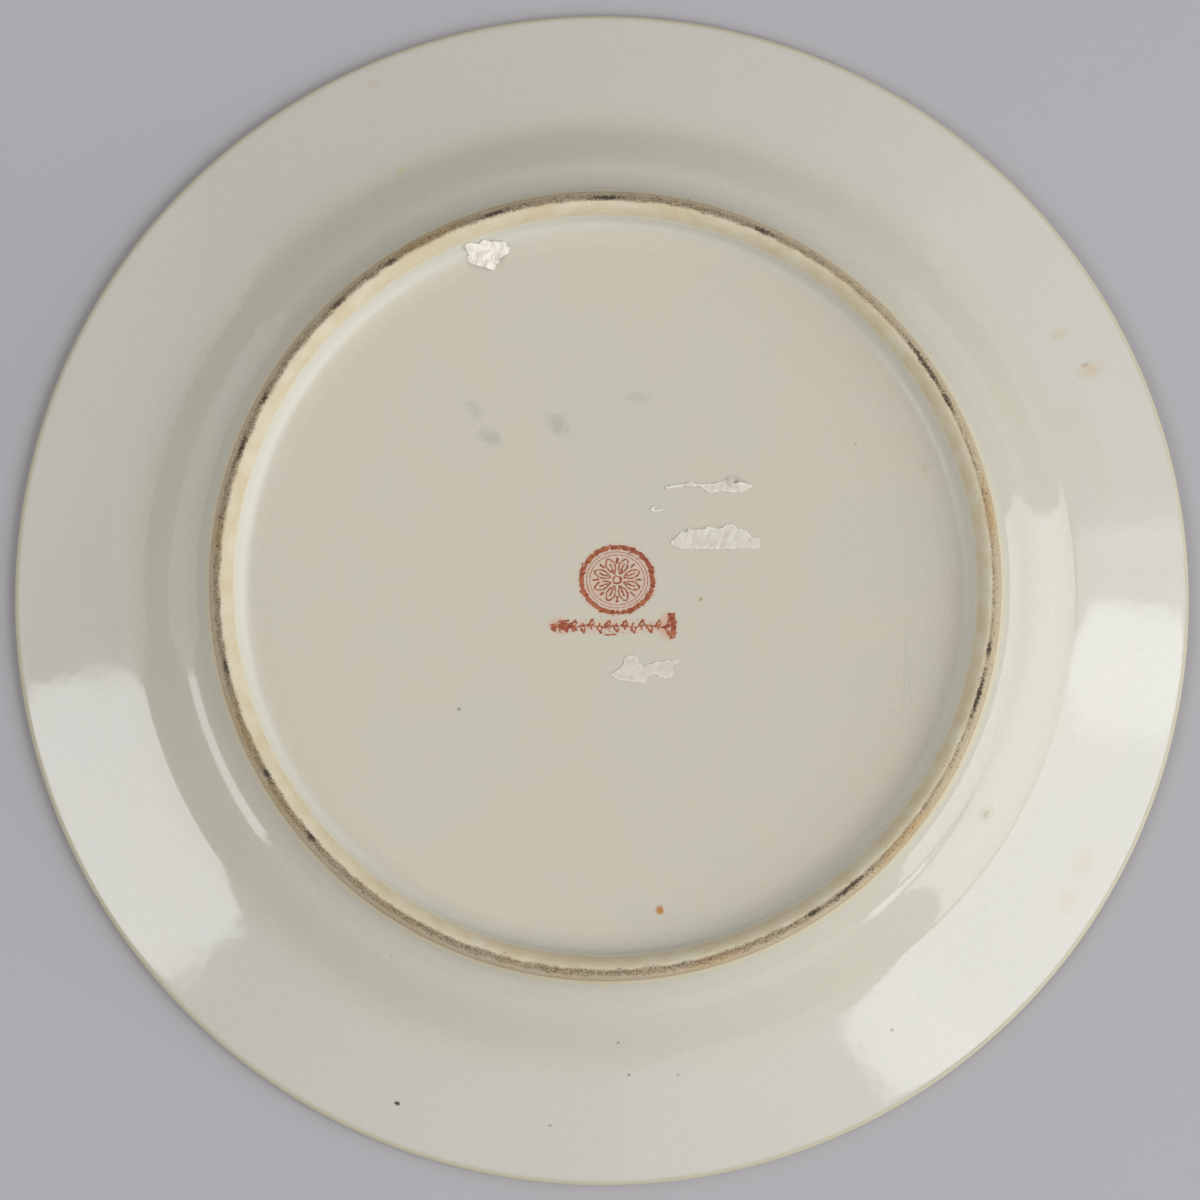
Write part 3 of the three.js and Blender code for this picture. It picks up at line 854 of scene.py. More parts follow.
def clay_material(s, colours):
    """Bare clay of the foot: cream inside and, as painted shade, browner outside, with a black gritty
    line on its crest.

    Below the foot, where the glaze on the lip was wiped thin, it has the tone of the glaze."""
    material, tree, place = new_material("Bare clay")
    tone = use(tree, "Clouded tone", Place=place, Tone=(*colours.clay, 1.0),
        Other_tone=(0.61, 0.50, 0.32, 1.0), Clouds=160.0, Grain=2200.0)
    crest = s.crest_radius / MM
    # Painted shade: the outer slope of the foot is darkened to a browner tone all round; dark dirt specks
    # are laid over it further down.
    outside = band(tree, place, s.crest_radius + 1.6 * MM, 1.3, 0.6, 0.9, 500.0)
    tone = overlay(tree, tone, (0.47, 0.365, 0.23), outside, 0.65)
    for bearing, half in OCHRE_PATCHES:
        tone = tint_spot(tree, place, tone, colours.stain, at(bearing, crest + 0.8), (0.9, half),
            bearing, 0.5, Softness=0.7, Raggedness=2.4, Grain=800.0)
    # A dark brown band just outside the crest, weaker towards +X, with dark specks laid in it.
    crest_brown_band = band(tree, place, s.crest_radius + 0.5 * MM, 0.35, 0.7, 1.6, 420.0)
    across = add(tree, "SeparateXYZ", {"Vector": place}).outputs
    weaker_towards_plus_x = smooth_range(tree, across["X"], 35 * MM, 75 * MM)
    crest_brown_band = maths(tree, "MULTIPLY", crest_brown_band, maths(tree, "MULTIPLY_ADD", weaker_towards_plus_x, -0.7, 1.0))
    tone = overlay(tree, tone, (0.30, 0.22, 0.13), crest_brown_band, 0.55)
    speckled = smooth_range(tree, cloud(tree, place, 3200.0, 3.0, 0.7), 0.51, 0.58)
    tone = overlay(tree, tone, DIRT, maths(tree, "MULTIPLY", speckled, outside), 0.30)
    tone = overlay(tree, tone, DIRT, maths(tree, "MULTIPLY", speckled, crest_brown_band), 0.9)
    line = band(tree, place, s.crest_radius + 0.3 * MM, 0.06, 0.22, 0.9, 1100.0)
    broken = smooth_range(tree, cloud(tree, place, 900.0, 4.0, 0.75), 0.44, 0.60)
    tone = overlay(tree, tone, DIRT, maths(tree, "MULTIPLY", line, broken), 0.7)
    for bearing, half in GRIT_PATCHES:
        tone = tint_spot(tree, place, tone, colours.grit, at(bearing, crest + 0.35), (0.45, half),
            bearing, 0.85, Softness=0.6, Raggedness=4.5, Grain=2300.0)
    washed = smooth_range(tree, across["Z"], s.base_height, s.base_height - 2 * MM)
    tone = mix(tree, washed, tone, glaze_surface(tree, place, colours))
    roughness = maths(tree, "MULTIPLY_ADD", washed, -0.60, 0.82)
    height = cloud(tree, place, 1400.0, 4.0, 0.65)
    height = maths(tree, "MULTIPLY", height, maths(tree, "SUBTRACT", 1.0, washed))
    return close_material(material, tone, roughness, height, 0.12, Specular_IOR_Level=0.4)


def gilding_material(colours, wear, under):
    """Gold that has worn through to the stained glaze under it."""
    material, tree, place = new_material(f"Gilding worn {wear:.1f}")
    rubbed = cloud(tree, place, 220.0, 4.0, 0.65)
    left = smooth_range(tree, rubbed, wear - 0.12, wear + 0.12)
    tone = mix(tree, left, under, colours.gold)
    metallic = maths(tree, "MULTIPLY", left, 0.9)
    roughness = maths(tree, "MULTIPLY_ADD", left, -0.2, 0.55)
    return close_material(material, tone, roughness, cloud(tree, place, 900.0, 3.0), 0.02, metallic)


def enamel_material(name, edge_colour, heart_colour, heart_start=0.6, heart_end=0.9):
    """Glossy enamel, painted in washes: darker towards one tone and thick at its edges."""
    material, tree, place = new_material(name)
    tone_share = attribute(tree, "tone")
    depth = attribute(tree, "depth")
    wash = smooth_range(tree, tone_share, heart_start, heart_end)
    tone = mix(tree, wash, edge_colour, heart_colour)
    streaks = cloud(tree, place, 600.0, 3.0, 0.6)
    light = mix(tree, smooth_range(tree, streaks, 0.35, 0.7), tone, (0.75, 0.68, 0.58))
    tone = mix(tree, 0.35, tone, light)
    outline = smooth_range(tree, depth, 0.45, 0.1)
    dark = mix(tree, 0.55, tone, (0.05, 0.02, 0.02))
    tone = overlay(tree, tone, dark, outline, 0.6)
    roughness = maths(tree, "MULTIPLY_ADD", streaks, 0.2, 0.12)
    return close_material(material, tone, roughness, streaks, 0.03)


def ink_material(colours):
    """Iron red of the mark: dark where the brush pooled, thin and orange elsewhere."""
    material, tree, place = new_material("Iron red mark")
    pooled = smooth_range(tree, cloud(tree, place, 900.0, 3.0, 0.6), 0.38, 0.62)
    tone = mix(tree, pooled, (0.44, 0.135, 0.055), colours.iron_red)
    dark = smooth_range(tree, cloud(tree, place, 2200.0, 3.0, 0.6), 0.5, 0.66)
    tone = overlay(tree, tone, (0.12, 0.02, 0.012), dark, 0.7)
    depth = attribute(tree, "depth")
    thin = smooth_range(tree, depth, 0.12, 0.0)
    tone = overlay(tree, tone, colours.halo, thin, 0.55)
    return close_material(material, tone, 0.45, cloud(tree, place, 2600.0, 2.0), 0.02)


def paper_material(name, colours, residue, torn):
    """Torn label paper: fibrous and chalky. Residue lets the glaze show, and torn edges are pale."""
    material, tree, place = new_material(name)
    fibres = cloud(tree, place, 1300.0, 5.0, 0.7)
    blotch = cloud(tree, place, 500.0, 2.0)
    thin = mix(tree, smooth_range(tree, blotch, 0.35, 0.65), colours.glaze, (0.69, 0.63, 0.53))
    body = mix(tree, 1.0 - residue, thin, colours.paper)
    depth = attribute(tree, "depth")
    rim = maths(tree, "MULTIPLY", smooth_range(tree, depth, 0.5, 0.12), torn)
    tone = mix(tree, rim, body, colours.paper)
    tone = overlay(tree, tone, (0.60, 0.55, 0.45), fibres, 0.2)
    return close_material(material, tone, 0.85, fibres, 0.15, Specular_IOR_Level=0.2)


def grit_material(colours):
    material, tree, place = new_material("Kiln grit")
    tone = mix(tree, cloud(tree, place, 2500.0, 2.0), colours.grit, (0.10, 0.065, 0.04))
    return close_material(material, tone, 0.6)


def floor_material(colours):
    material, tree, place = new_material("Plain floor")
    darker = tuple(0.97 * part for part in colours.floor)
    tone = mix(tree, cloud(tree, place, 6.0, 3.0), colours.floor, darker)
    return close_material(material, tone, 0.9, Specular_IOR_Level=0.2)


# ---------------------------------------------------------------- pieces of the plate

# Coats that later pieces are pressed onto, by name, and how many steps go once round the axis.
PIECES = {}
CLAY_STEPS = 560
COAT_STEPS = 256
LINE_STEPS = 192
DOME_REACH = 0.8


class PLATE_OT_porcelain(bpy.types.Operator):
    """Throws the porcelain body and roughens its bare foot"""

    bl_idname = "plate.porcelain"
    bl_label = "Porcelain body"

    def execute(self, context):
        s, colours = chosen(context)
        face, back, base = (line[::2] for line in (face_line(s), back_line(s), base_line(s)))
        outline = joined_line(face, lip_arc(s, -90, 75, 12), back, foot_line(s), base)
        piece = turned("porcelain_plate", outline, CLAY_STEPS)
        bare = weigh(piece, "Bare foot", lambda co: float(ramp(co.z, s.bare_inside_height,
            s.bare_inside_height + 1.5 * MM)))
        warp(piece, s)
        displace(piece, "Rough foot", 0.16 * MM, cloud_texture("Rough foot", 1.1 * MM, 3), group=bare)
        apply_modifiers(piece)
        finish_piece(piece, clay_material(s, colours), ["porcelain_body"])
        return {"FINISHED"}


class PLATE_OT_glazes(bpy.types.Operator):
    """Glazes the back, the base inside the foot ring and the face"""

    bl_idname = "plate.glazes"
    bl_label = "Glazes"

    def execute(self, context):
        s, colours = chosen(context)
        face = face_line(s)
        end = s.radius - 3.5 * MM
        face = [p for p in face if p[0] < end] + [(end, height_on(face, end))]
        back = joined_line(lip_arc(s, -35, 75, 12), back_line(s))
        coats = [
            ("back_glaze_coat", "back_glaze", back, True, True, back_glaze_material(s, colours)),
            ("base_glaze_coat", "base_glaze", base_line(s), True, False, base_glaze_material(s, colours)),
            ("face_glaze_coat", "face_glaze", face, False, True, face_glaze_material(colours)),
        ]
        for name, node, line, thin_start, thin_end, material in coats:
            piece = coat(name, line, s.glaze, COAT_STEPS, thin_start, thin_end)
            warp(piece, s)
            apply_modifiers(piece)
            PIECES[name] = finish_piece(piece, material, [node])
        return {"FINISHED"}


def gold_ring(name, line, thickness, steps, material, s, node):
    outside = offset(line, thickness)
    inside = offset(line, -0.03 * MM)
    piece = turned(name, outside + inside[::-1] + outside[:1], steps)
    warp(piece, s)
    apply_modifiers(piece)
    return finish_piece(piece, material, [node])


class PLATE_OT_gilding(bpy.types.Operator):
    """Gilds the lip and draws the gold and red lines of the face"""

    bl_idname = "plate.gilding"
    bl_label = "Gilding and lines"

    def execute(self, context):
        s, colours = chosen(context)
        over_glaze = offset(lip_arc(s, -28, 58, 12), s.glaze)
        worn = gilding_material(colours, 0.78, (0.56, 0.50, 0.36))
        gold_ring("gilded_lip", over_glaze, 0.05 * MM, COAT_STEPS, worn, s, "lip_gilding")
        fresh = gilding_material(colours, 0.3, (0.42, 0.35, 0.21))
        red = enamel_material("Red line", colours.iron_red, colours.iron_red)
        face = offset(face_line(s), s.glaze)
        lines = [
            ("gold_line_rim", "rim_gold_line", RIM_LINE_HIGH.x, 1.2 * MM, fresh),
            ("gold_line_shoulder", "shoulder_gold_line", SHOULDER_LINE_HIGH.x, 1.2 * MM, fresh),
            ("red_line_well", "well_red_line", RED_LINE_HIGH.x, 1 * MM, red),
        ]
        for name, node, outer, width, material in lines:
            radii = [outer - width + width * i / 4 for i in range(5)]
            line = [(radius, height_on(face, radius)) for radius in radii]
            piece = gold_ring(name, line, 0.06 * MM, LINE_STEPS, material, s, node)
        return {"FINISHED"}


# ---------------------------------------------------------------- painting of the face


def lobes(x, y, radius, count, cut, turn=0.0):
    """Depth inside a flower of rounded petals, and the share of the way in to its heart."""
    angle = np.arctan2(y, x) - turn
    away = np.hypot(x, y)
    reach = radius * (1 - cut + cut * np.abs(np.cos(count / 2 * angle)))
    petal = np.arccos(np.clip(np.abs(np.cos(count / 2 * angle)), 0, 1)) / (count / 2)
    gap = away * (math.pi / count - petal) - 0.12
    depth = np.minimum(reach - away, np.where(away > radius * 0.25, gap, 9.0))
    return depth, 1 - away / radius


def leaf_depth(x, y, root, turn, long, wide):
    """Depth inside a pointed leaf that grows from its root."""
    along = (x - root[0]) * math.cos(turn) + (y - root[1]) * math.sin(turn)
    across = -(x - root[0]) * math.sin(turn) + (y - root[1]) * math.cos(turn)
    share = np.clip(along / long, 0, 1)
    half = wide * 2 * share * (1 - share)
    outside = (along < 0) | (along > long)
    vein = np.abs(across) - 0.09
    depth = np.where(outside, -1.0, half - np.abs(across))
    return np.where((depth > 0.5) & (share > 0.2) & (share < 0.8), np.minimum(depth, vein), depth)


def enamel_piece(name, middle, size, cell, depth_at, material, nodes, s, height=0.15):
    below = -6 * MM
    piece = cut_sheet(name, middle, size, cell, below, depth_at, face_down=True)
    press(piece, PIECES["face_glaze_coat"], face_down=True)
    dome(piece, height * MM, DOME_REACH)
    thicken(piece, s.enamel)
    apply_modifiers(piece)
    return finish_piece(piece, material, nodes, 60)


class PLATE_OT_rim_border(bpy.types.Operator):
    """Paints the roses and the leaf sprays round the rim of the face"""

    bl_idname = "plate.rim_border"
    bl_label = "Rim border"

    def execute(self, context):
        s, colours = chosen(context)
        rose = enamel_material("Rose enamel", colours.rose, colours.yellow, 0.68, 0.8)
        leaf = enamel_material("Leaf enamel", colours.leaf, (0.14, 0.34, 0.16), 0.1, 0.9)
        low, high = FIRST_ROSE
        away = middle_of(FIRST_ROSE)[0] / MM
        radius = (high.y - low.y) / 2 / MM + 0.2
        for i in range(ROSES):
            turn = 2 * math.pi * i / ROSES
            x, y = away * math.cos(turn), away * math.sin(turn)
            enamel_piece(f"rim_rose_enamel_{i + 1}", (x * MM, y * MM),
                (2.2 * radius * MM, 2.2 * radius * MM), 0.22 * MM, lambda px, py, x=x, y=y,
                turn=turn: lobes(px - x, py - y, radius, 5, 0.3, turn), rose,
                [f"rim_rose_{i + 1}"], s, 0.3)
            self.spray(i, away, radius, leaf, s)
        return {"FINISHED"}

    def spray(self, index, away, rose_radius, material, s):
        """A wavy stem from one rose towards the next, with leaves by turns on each side."""
        step = 2 * math.pi / ROSES
        middle = (index + 0.5) * step
        clear = (rose_radius + 1.2) / away
        spread = step / 2 - clear

        def stem(share):
            angle = middle - spread + 2 * spread * share
            radius = away + 1.8 * math.sin((share - 0.5) * 2 * math.pi)
            return (radius * math.cos(angle), radius * math.sin(angle))

        points = [stem(i / 16) for i in range(17)]
        leaves = []
        for i, share in enumerate((0.06, 0.2, 0.35, 0.5, 0.65, 0.8, 0.94)):
            root = stem(share)
            outwards = math.atan2(root[1], root[0])
            leaves.append((root, outwards + (0.85 if i % 2 else math.pi - 0.85)))

        def depth_at(x, y):
            depth = stroke_depth(x, y, points, 0.55)
            for root, turn in leaves:
                depth = np.maximum(depth, leaf_depth(x, y, root, turn, 5.2, 2.6))
            return depth, np.clip(depth, 0, 1)

        spans = [max(abs(p[axis] - q[axis]) for p in points for q in points) + 12 for axis in (0, 1)]
        centre = [(max(p[axis] for p in points) + min(p[axis] for p in points)) / 2 for axis in (0, 1)]
        enamel_piece(f"leaf_spray_enamel_{index + 1}", (centre[0] * MM, centre[1] * MM),
            (spans[0] * MM, spans[1] * MM), 0.25 * MM, depth_at, material,
            [f"rim_leaf_spray_{index + 1}"], s, 0.2)


class PLATE_OT_well_flower(bpy.types.Operator):
    """Paints the rosette, its heart and its wreath in the well"""

    bl_idname = "plate.well_flower"
    bl_label = "Well rosette"

    def execute(self, context):
        s, colours = chosen(context)
        rose = enamel_material("Rosette enamel", colours.rose, (0.25, 0.03, 0.06), 0.45, 0.75)
        yellow = enamel_material("Yellow enamel", colours.yellow, (0.45, 0.20, 0.03), 0.5, 0.9)
        leaf = enamel_material("Wreath enamel", colours.leaf, (0.14, 0.34, 0.16), 0.1, 0.9)
        radius = WELL_ROSE_HIGH.x / MM
        heart = HEART_HIGH.x / MM
        wreath = 32.0

        def petals(x, y):
            depth, tone = lobes(x, y, radius, 8, 0.28)
            return np.minimum(depth, np.hypot(x, y) - heart - 0.3), tone

        def seeds(x, y):
            away = np.hypot(x, y)
            rings = np.abs(np.sin(away * 1.9)) * np.abs(np.cos(4 * np.arctan2(y, x)))
            return np.minimum(heart - away, 0.25 - 0.6 * (rings > 0.93)), 1 - away / heart

        def garland(x, y):
            depth = 0.35 - np.abs(np.hypot(x, y) - wreath)
            for i in range(24):
                turn = 2 * math.pi * i / 24
                root = (wreath * math.cos(turn), wreath * math.sin(turn))
                lean = 0.8 if i % 2 else math.pi - 0.8
                depth = np.maximum(depth, leaf_depth(x, y, root, turn + lean, 7.5, 3.4))
            return depth, np.clip(depth, 0, 1)

        pieces = [
            ("well_rose_petals", radius + 1, 0.28, petals, rose, "rose_enamel", "well_rose", 0.35),
            ("well_rose_seeds", heart + 1, 0.18, seeds, yellow, "yellow_enamel", "well_rose_heart", 0.3),
            ("well_wreath", wreath + 8, 0.34, garland, leaf, "leaf_enamel", "well_leaf_wreath", 0.25),
        ]
        for name, half, cell, depth_at, material, slot, node, height in pieces:
            size = (2 * half * MM, 2 * half * MM)
            enamel_piece(name, (0, 0), size, cell * MM, depth_at, material, [node], s, height)
        return {"FINISHED"}


# ---------------------------------------------------------------- red mark on the base


def ring(radius, steps):
    """Corners of a circle about the middle."""
    angles = [math.radians(360 * i / steps) for i in range(steps + 1)]
    return [(radius * math.cos(a), radius * math.sin(a)) for a in angles]


def rosette_strokes(reach):
    """Strokes of the rosette about its middle, as (points, width) in mm."""
    strokes = [
        (ring(reach - 0.5, 72), 1.15),
        (ring(reach - 1.6, 64), 0.22),
        (ring(reach - 2.3, 64), 0.22),
        (ring(0.85, 20), 0.5),
    ]
    petals = 8
    tip = reach - 2.9
    for i in range(petals):
        turn = 2 * math.pi * (i + 0.5) / petals

        def place(along, across, turn=turn):
            return (along * math.cos(turn) - across * math.sin(turn),
                along * math.sin(turn) + across * math.cos(turn))

        for side in (1, -1):
            edge = [(1.5, 0), (2.6, 0.72 * side), (3.8, 0.95 * side), (tip - 0.4, 0.5 * side), (tip, 0)]
            strokes.append(([place(*corner) for corner in edge], 0.4))
        strokes.append(([place(2.4, 0), place(tip - 1.3, 0)], 0.45))
        strokes.append(([place(reach - 0.2, 0.5), place(reach + 0.1, -0.6)], 0.5))
        between = turn + math.pi / petals
        bud = [(a * math.cos(between), a * math.sin(between)) for a in (tip - 1.2, tip - 0.2)]
        strokes.append((bud, 0.55))
    return strokes


def twig_strokes(left, right):
    """Strokes of the twig along y = 0, as (points, width) in mm: stem, leaves and end blots."""
    steps = 24
    span = right - left
    stem = [(left + span * i / steps, 0.22 * math.sin(1.1 * i)) for i in range(steps + 1)]
    strokes = [(stem, 0.4)]
    leaves = 13
    for i in range(leaves):
        x = left + 2.2 + (span - 4.8) * i / (leaves - 1)
        side = 1 if i % 2 else -1
        strokes.append(([(x, 0), (x + 0.4, 0.75 * side), (x + 0.9, 1.35 * side)], 0.55))
        strokes.append(([(x + 0.9, 1.35 * side), (x + 1.2, 0.5 * side), (x + 0.6, 0.1)], 0.4))
        strokes.append(([(x + 0.5, 0), (x + 0.7, -0.6 * side)], 0.4))
    return strokes + [
        ([(left + 0.5, -0.35), (left + 2.2, 0.15), (left + 4.2, -0.25)], 1.8),
        ([(left + 1.2, 0.9), (left + 3.4, 1.2)], 0.5),
        ([(right - 0.9, -1.7), (right - 0.75, 0.2), (right - 0.95, 2.1)], 1.7),
        ([(right - 2.2, 0.2), (right - 0.3, 0.1)], 0.9),
        ([(left + 11, -1.9), (left + 13.6, -1.8)], 0.4),
    ]


def brushed(x, y, strokes, rough, seed):
    """Depth inside a set of strokes. Wide strokes are ragged and skip, and thin ones hold."""
    ragged = rough * (wobble(x, y, 0.6, seed) + 0.6 * wobble(x, y, 0.28, seed + 3))
    skip = np.maximum(wobble(x, y, 1.1, seed + 7) - 0.3, 0)
    depth = np.full(len(x), -9.0)
    for points, width in strokes:
        inside = stroke_depth(x, y, points, width)
        depth = np.maximum(depth, inside + width * (ragged - 0.9 * skip))
    return depth


def dots(x, y, seed, count, spread, size):
    """Depth inside tiny dots that the brush let fall about a middle."""
    chance = random.Random(seed)
    depth = np.full(len(x), -9.0)
    for _ in range(count):
        at_x, at_y = chance.gauss(0, spread[0]), chance.gauss(0, spread[1])
        radius = size * chance.uniform(0.7, 1.3)
        depth = np.maximum(depth, radius - np.hypot(x - at_x, y - at_y))
    return depth


class PLATE_OT_base_mark(bpy.types.Operator):
    """Brushes the red rosette and the twig on the base"""

    bl_idname = "plate.base_mark"
    bl_label = "Base mark"

    def execute(self, context):
        s, colours = chosen(context)
        ink = ink_material(colours)
        low, high = MARK_BOX
        middle = tuple(place / MM for place in middle_of(MARK_BOX))
        reach = (high.x - low.x) / 2 / MM
        squash = (high.y - low.y) / (high.x - low.x)
        rosette = rosette_strokes(reach)

        def rosette_depth(x, y):
            depth = brushed(x - middle[0], (y - middle[1]) / squash, rosette, 0.36, 11)
            return depth, np.clip(depth, 0, 1)

        self.paint("mark_rosette", middle, (2 * reach + 2, 2 * reach + 2), rosette_depth, ink, s)
        low, high = TWIG_BOX
        twig_middle, level = (place / MM for place in middle_of(TWIG_BOX))
        twig = twig_strokes(low.x / MM, high.x / MM)

        def twig_depth(x, y):
            depth = brushed(x, y - level, twig, 0.40, 29)
            depth = np.maximum(depth, dots(x - twig_middle, y - level, 3, 34, (6.0, 1.3), 0.13))
            return depth, np.clip(depth, 0, 1)

        size = ((high.x - low.x) / MM + 2, 7)
        self.paint("mark_twig", (twig_middle, level), size, twig_depth, ink, s)
        return {"FINISHED"}

    def paint(self, name, middle, size, depth_at, material, s):
        cell = 0.12 * MM
        above = s.base_height + 3 * MM
        extent = (size[0] * MM, size[1] * MM)
        piece = cut_sheet(name, (middle[0] * MM, middle[1] * MM), extent, cell, above, depth_at)
        press(piece, PIECES["base_glaze_coat"])
        thicken(piece, s.ink)
        apply_modifiers(piece)
        finish_piece(piece, material, ["base_" + name], 60)


# ---------------------------------------------------------------- scraps of the torn label

# Corners in mm from the lowest corner of the scrap's CAD box.
WIDE_SCRAP = [
    (0, 1.6), (0.3, 1), (2, 0), (17.9, 0.1), (19.3, 0.3), (19.4, 2.7), (18.1, 2.4), (17.6, 2.7),
    (16.4, 4.1), (14.6, 4.4), (13.5, 5.4), (12.1, 5.5), (11.5, 4.9), (10, 4.4), (7.8, 5.1),
    (7.5, 4.3), (5.5, 4.2), (3.7, 4.6), (3.4, 3.7), (2.2, 3.7), (1, 2.4),
]
THIN_SCRAP = [
    (0, 1.6), (5, 2.4), (5.7, 2.8), (7.5, 2.1), (11.3, 2.4), (15.1, 3.8), (15.1, 2.7), (14.5, 2.4),
    (17.1, 2.4), (19.5, 1.9), (17.3, 0.6), (15.8, 0.3), (14.2, 0.4), (11.9, 0.7), (10, 0),
    (8.7, 0.9), (7.4, 1.7), (4.2, 1.6), (0.3, 1),
]
LOW_SCRAP = [
    (0, 2.8), (0.5, 2), (1.6, 1.2), (3.4, 0.7), (6.5, 0.5), (7.4, 0), (7.9, 1.1), (8.7, 1.9),
    (10.1, 2.2), (10.8, 1.6), (13, 1.3), (13.8, 2.1), (13.7, 3.9), (14.8, 4.8), (15.5, 5.5),
    (13.2, 5.2), (10.2, 4.9), (8.4, 4.3), (7.4, 3.9), (6.3, 4.6), (6.2, 6.2), (4.3, 6.1),
    (3, 5.5), (3.2, 4.6), (2.2, 3.4), (0.9, 2.5),
]
FOOT_SCRAP = [
    (-0.3, 4.8), (0.5, 5.3), (2.8, 5.5), (4, 6.2), (6.3, 6), (8.9, 6.2), (9.2, 5.3), (9.8, 4.8),
    (9.6, 3.7), (7.3, 2.4), (7.5, 1.6), (6.8, 1), (6.3, 0), (5, 0.2), (0.8, 1.4), (0.7, 2.4),
    (0.2, 2.9), (0.8, 3.1), (0.4, 3.8),
]
# Where the thin scrap stands up: X, Y, reach and height in mm.
THIN_FLAP = (15.6, 2.9, 2.4, 1.5)
FIRST_SCRAP_SEED = 40
CURL_THREAD = [(0.7, 1.2), (0.2, 0.6), (1.1, 0.4), (2.1, 0.5), (3, 0.9)]


class PLATE_OT_label_scraps(bpy.types.Operator):
    """Leaves the torn scraps of a paper label on the base"""

    bl_idname = "plate.label_scraps"
    bl_label = "Label scraps"

    def execute(self, context):
        s, colours = chosen(context)
        paper = paper_material("Torn paper", colours, 0.78, 0.7)
        bright = paper_material("Crumpled paper", colours, 0.0, 1.0)
        residue = paper_material("Label residue", colours, 0.95, 0.55)
        scraps = [
            ("wide", WIDE_SCRAP, paper, 0.30, 0.40, 1.3, None),
            ("thin", THIN_SCRAP, paper, 0.22, 0.40, 1.1, THIN_FLAP),
            ("low", LOW_SCRAP, residue, 0.25, 0.22, 1.6, None),
            ("by_foot", FOOT_SCRAP, bright, 0.12, 1.7, 1.5, None),
            ("curl", None, paper, 0.1, 0.4, 1.2, None),
        ]
        for seed, (word, *shape) in enumerate(scraps, FIRST_SCRAP_SEED):
            self.scrap(f"paper_scrap_{word}", f"label_scrap_{word}", *shape, seed, s)
        return {"FINISHED"}

    def scrap(self, name, node, outline, material, ragged, crumple, fold, flap, seed, s):
        """One scrap: how ragged its edge is, how high and how close its folds are, in mm."""
        low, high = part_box(node)
        corner = (low.x / MM, low.y / MM)

        def depth_at(x, y):
            if outline is None:
                depth = stroke_depth(x - corner[0], y - corner[1], CURL_THREAD, 0.5)
            else:
                depth = inside_depth(x - corner[0], y - corner[1], outline)
            depth = depth + ragged * wobble(x, y, 0.8, seed) + 0.5 * ragged * wobble(x, y, 0.3, seed)
            return depth, np.clip(depth, 0, 1)

        margin = 2.4 * MM
        size = (high.x - low.x + margin, high.y - low.y + margin)
        above = s.base_height + 8 * MM
        piece = cut_sheet(name, middle_of((low, high)), size, 0.16 * MM, above, depth_at)
        press(piece, PIECES["base_glaze_coat"])
        folds = cloud_texture(f"Folds {fold}", fold * MM, 2)
        displace(piece, "Folds", crumple * MM, folds, middle=0.3)
        if flap:
            middle_x, middle_y, reach, height = flap
            lifted = weigh(piece, "Flap", lambda co: 1 - math.hypot(co.x / MM - corner[0] - middle_x,
                1.3 * (co.y / MM - corner[1] - middle_y)) / reach)
            displace(piece, "Flap", height * MM, middle=0.0, group=lifted)
        creases = cloud_texture("Creases", 0.5 * MM, 1)
        displace(piece, "Creases", 0.12 * crumple * MM, creases, middle=0.0)
        thicken(piece, s.paper)
        apply_modifiers(piece)
        finish_piece(piece, material, [node], 35)


# ---------------------------------------------------------------- kiln grit on the foot


GRAINS_PER_MM = 11
LOOSE_GRAINS = 700
GRAIN_RADIUS = 0.16 * MM


class PLATE_OT_kiln_grit(bpy.types.Operator):
    """Sets the black grains of kiln grit along the crest of the foot ring"""

    bl_idname = "plate.kiln_grit"
    bl_label = "Kiln grit"

    def execute(self, context):
        s, colours = chosen(context)
        chance = random.Random(5)
        crest = s.crest_radius / MM
        deselect()
        bpy.ops.mesh.primitive_ico_sphere_add(subdivisions=1, radius=GRAIN_RADIUS)
        seed = named("kiln_grit")
        grains = []
        for bearing, half in GRIT_PATCHES:
            for _ in range(round(GRAINS_PER_MM * half)):
                along = chance.gauss(0, 0.55) * half
                grains.append((bearing + math.degrees(along / crest), chance.gauss(0.35, 0.22), 1.0))
        for _ in range(LOOSE_GRAINS):
            grains.append((chance.uniform(-180, 180), chance.gauss(0.5, 0.5), 0.55))
        copies = [seed]
        for bearing, side, scale in grains:
            copy = seed.copy()
            copy.data = seed.data.copy()
            bpy.context.collection.objects.link(copy)
            size = scale * chance.uniform(0.6, 1.25)
            stretch = (size, size * chance.uniform(1.0, 1.8), size * 0.6)
            turn = math.radians(bearing) + chance.uniform(-0.5, 0.5)
            copy.matrix_world = (Matrix.Translation(at(bearing, crest + side,
                s.height / MM - 0.02)) @ Matrix.Rotation(turn, 4, "Z") @ Matrix.Diagonal((*stretch, 1.0)))
            copies.append(copy)
        for copy in copies:
            copy.select_set(True)
        first = copies[1]
        bpy.data.objects.remove(seed)
        bpy.context.view_layer.objects.active = first
        bpy.ops.object.join()
        first.name = "kiln_grit"
        settle(first)
        finish_piece(first, grit_material(colours), [], 80)
        return {"FINISHED"}


# ---------------------------------------------------------------- stage


# Name, bearing and elevation of the middle, angles that it spans, and radiance.
PANELS = [
    ("key light", -24, 47, 38, 25, 4.0),
    ("key edge light", 3, 47, 14, 24, 1.7),
    ("low key light", -12, 18, 52, 31, 2.55),
    ("side light", 32, 34, 30, 46, 0.5),
    ("front light", -64, 42, 26, 30, 0.5),
    ("window light", 200, 44, 22, 26, 4.3),
    ("left fill", 160, 32, 45, 36, 0.6),
]
PANEL_DISTANCE = 3.0
DAYLIGHT = (0.92, 0.96, 1.0)
FLOOR_SIZE = 14
# The camera's place and the point that it looks at, in mm, and its lens.
EYE = (-13.63, -56.46, 650)
TARGET = (-0.9, -1.865, 0)
LENS = 87.92
ROOM_LIGHT = 0.34


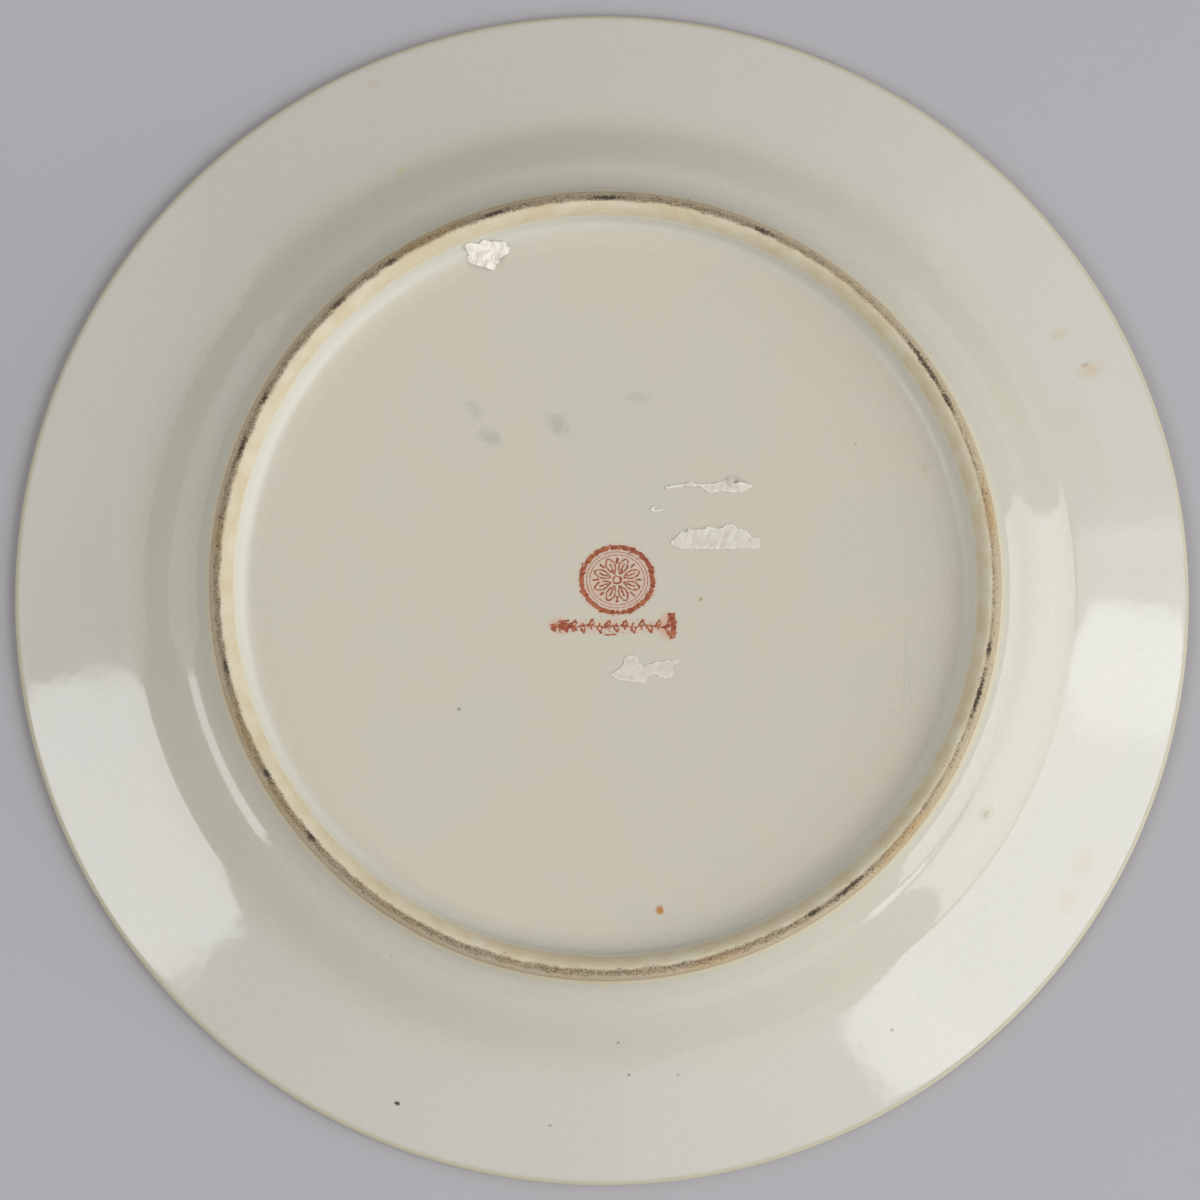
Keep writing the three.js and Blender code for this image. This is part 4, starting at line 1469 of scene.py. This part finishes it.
def panel(name, bearing, elevation, wide, high, radiance):
    """A rectangular light that faces the plate. Angles are in degrees, as seen from the plate."""
    turn, rise = math.radians(bearing), math.radians(elevation)
    flat = math.cos(rise)
    towards = Vector((math.cos(turn) * flat, math.sin(turn) * flat, math.sin(rise)))
    bpy.ops.object.light_add(type="AREA", location=towards * PANEL_DISTANCE)
    light = bpy.context.object
    light.name = name
    light.rotation_euler = towards.to_track_quat("Z", "Y").to_euler()
    light.data.shape = "RECTANGLE"
    light.data.size = 2 * PANEL_DISTANCE * math.tan(math.radians(wide / 2))
    light.data.size_y = 2 * PANEL_DISTANCE * math.tan(math.radians(high / 2))
    light.data.color = DAYLIGHT
    light.data.energy = radiance * math.pi * light.data.size * light.data.size_y


class PLATE_OT_stage(bpy.types.Operator):
    """Sets the floor, the soft lights and the camera"""

    bl_idname = "plate.stage"
    bl_label = "Stage"

    def execute(self, context):
        deselect()
        bpy.ops.mesh.primitive_plane_add(size=FLOOR_SIZE, location=(0, 0, 0))
        floor = named("floor")
        floor.data.materials.append(floor_material(chosen(context)[1]))
        context.scene.view_settings.view_transform = "Standard"
        for settings in PANELS:
            panel(*settings)
        self.surroundings(context)
        self.camera(context)
        return {"FINISHED"}

    def surroundings(self, context):
        world = bpy.data.worlds.new("Soft room")
        context.scene.world = world
        world.use_nodes = True
        background = world.node_tree.nodes["Background"]
        background.inputs["Color"].default_value = (0.98, 0.99, 1.0, 1.0)
        background.inputs["Strength"].default_value = ROOM_LIGHT

    def camera(self, context):
        """Almost straight above, a little to the side that the viewer stands on."""
        eye, target = Vector(EYE) * MM, Vector(TARGET) * MM
        bpy.ops.object.camera_add(location=eye)
        camera = bpy.context.object
        back = (eye - target).normalized()
        right = Vector((0, 1, 0)).cross(back).normalized()
        up = back.cross(right)
        camera.rotation_euler = Matrix((right, up, back)).transposed().to_euler()
        camera.data.lens = LENS
        camera.data.sensor_width = 36
        camera.data.clip_start = 0.01
        context.scene.camera = camera


# ---------------------------------------------------------------- panel and registration

OPERATORS = (PLATE_OT_porcelain, PLATE_OT_glazes, PLATE_OT_gilding, PLATE_OT_rim_border,
    PLATE_OT_well_flower, PLATE_OT_base_mark, PLATE_OT_label_scraps, PLATE_OT_kiln_grit, PLATE_OT_stage)


class VIEW3D_PT_plate(bpy.types.Panel):
    """The plate's sizes, colours and making steps"""

    bl_label = "Porcelain plate"
    bl_space_type = "VIEW_3D"
    bl_region_type = "UI"
    bl_category = "Plate"

    def draw(self, context):
        for group in (context.scene.plate_sizes, context.scene.plate_colours):
            column = self.layout.column()
            for name in group.bl_rna.properties.keys():
                if name not in ("rna_type", "name"):
                    column.prop(group, name)
        for operator in OPERATORS:
            self.layout.operator(operator.bl_idname)


CLASSES = (PlateSizes, PlateColours, *OPERATORS, VIEW3D_PT_plate)


def register():
    for cls in CLASSES:
        bpy.utils.register_class(cls)
    bpy.types.Scene.plate_sizes = bpy.props.PointerProperty(type=PlateSizes)
    bpy.types.Scene.plate_colours = bpy.props.PointerProperty(type=PlateColours)


def unregister():
    del bpy.types.Scene.plate_colours
    del bpy.types.Scene.plate_sizes
    for cls in reversed(CLASSES):
        bpy.utils.unregister_class(cls)


def main():
    register()
    build_groups()
    bpy.ops.plate.porcelain()
    bpy.ops.plate.glazes()
    bpy.ops.plate.gilding()
    bpy.ops.plate.rim_border()
    bpy.ops.plate.well_flower()
    bpy.ops.plate.base_mark()
    bpy.ops.plate.label_scraps()
    bpy.ops.plate.kiln_grit()
    bpy.ops.plate.stage()


if __name__ == "__main__":
    main()
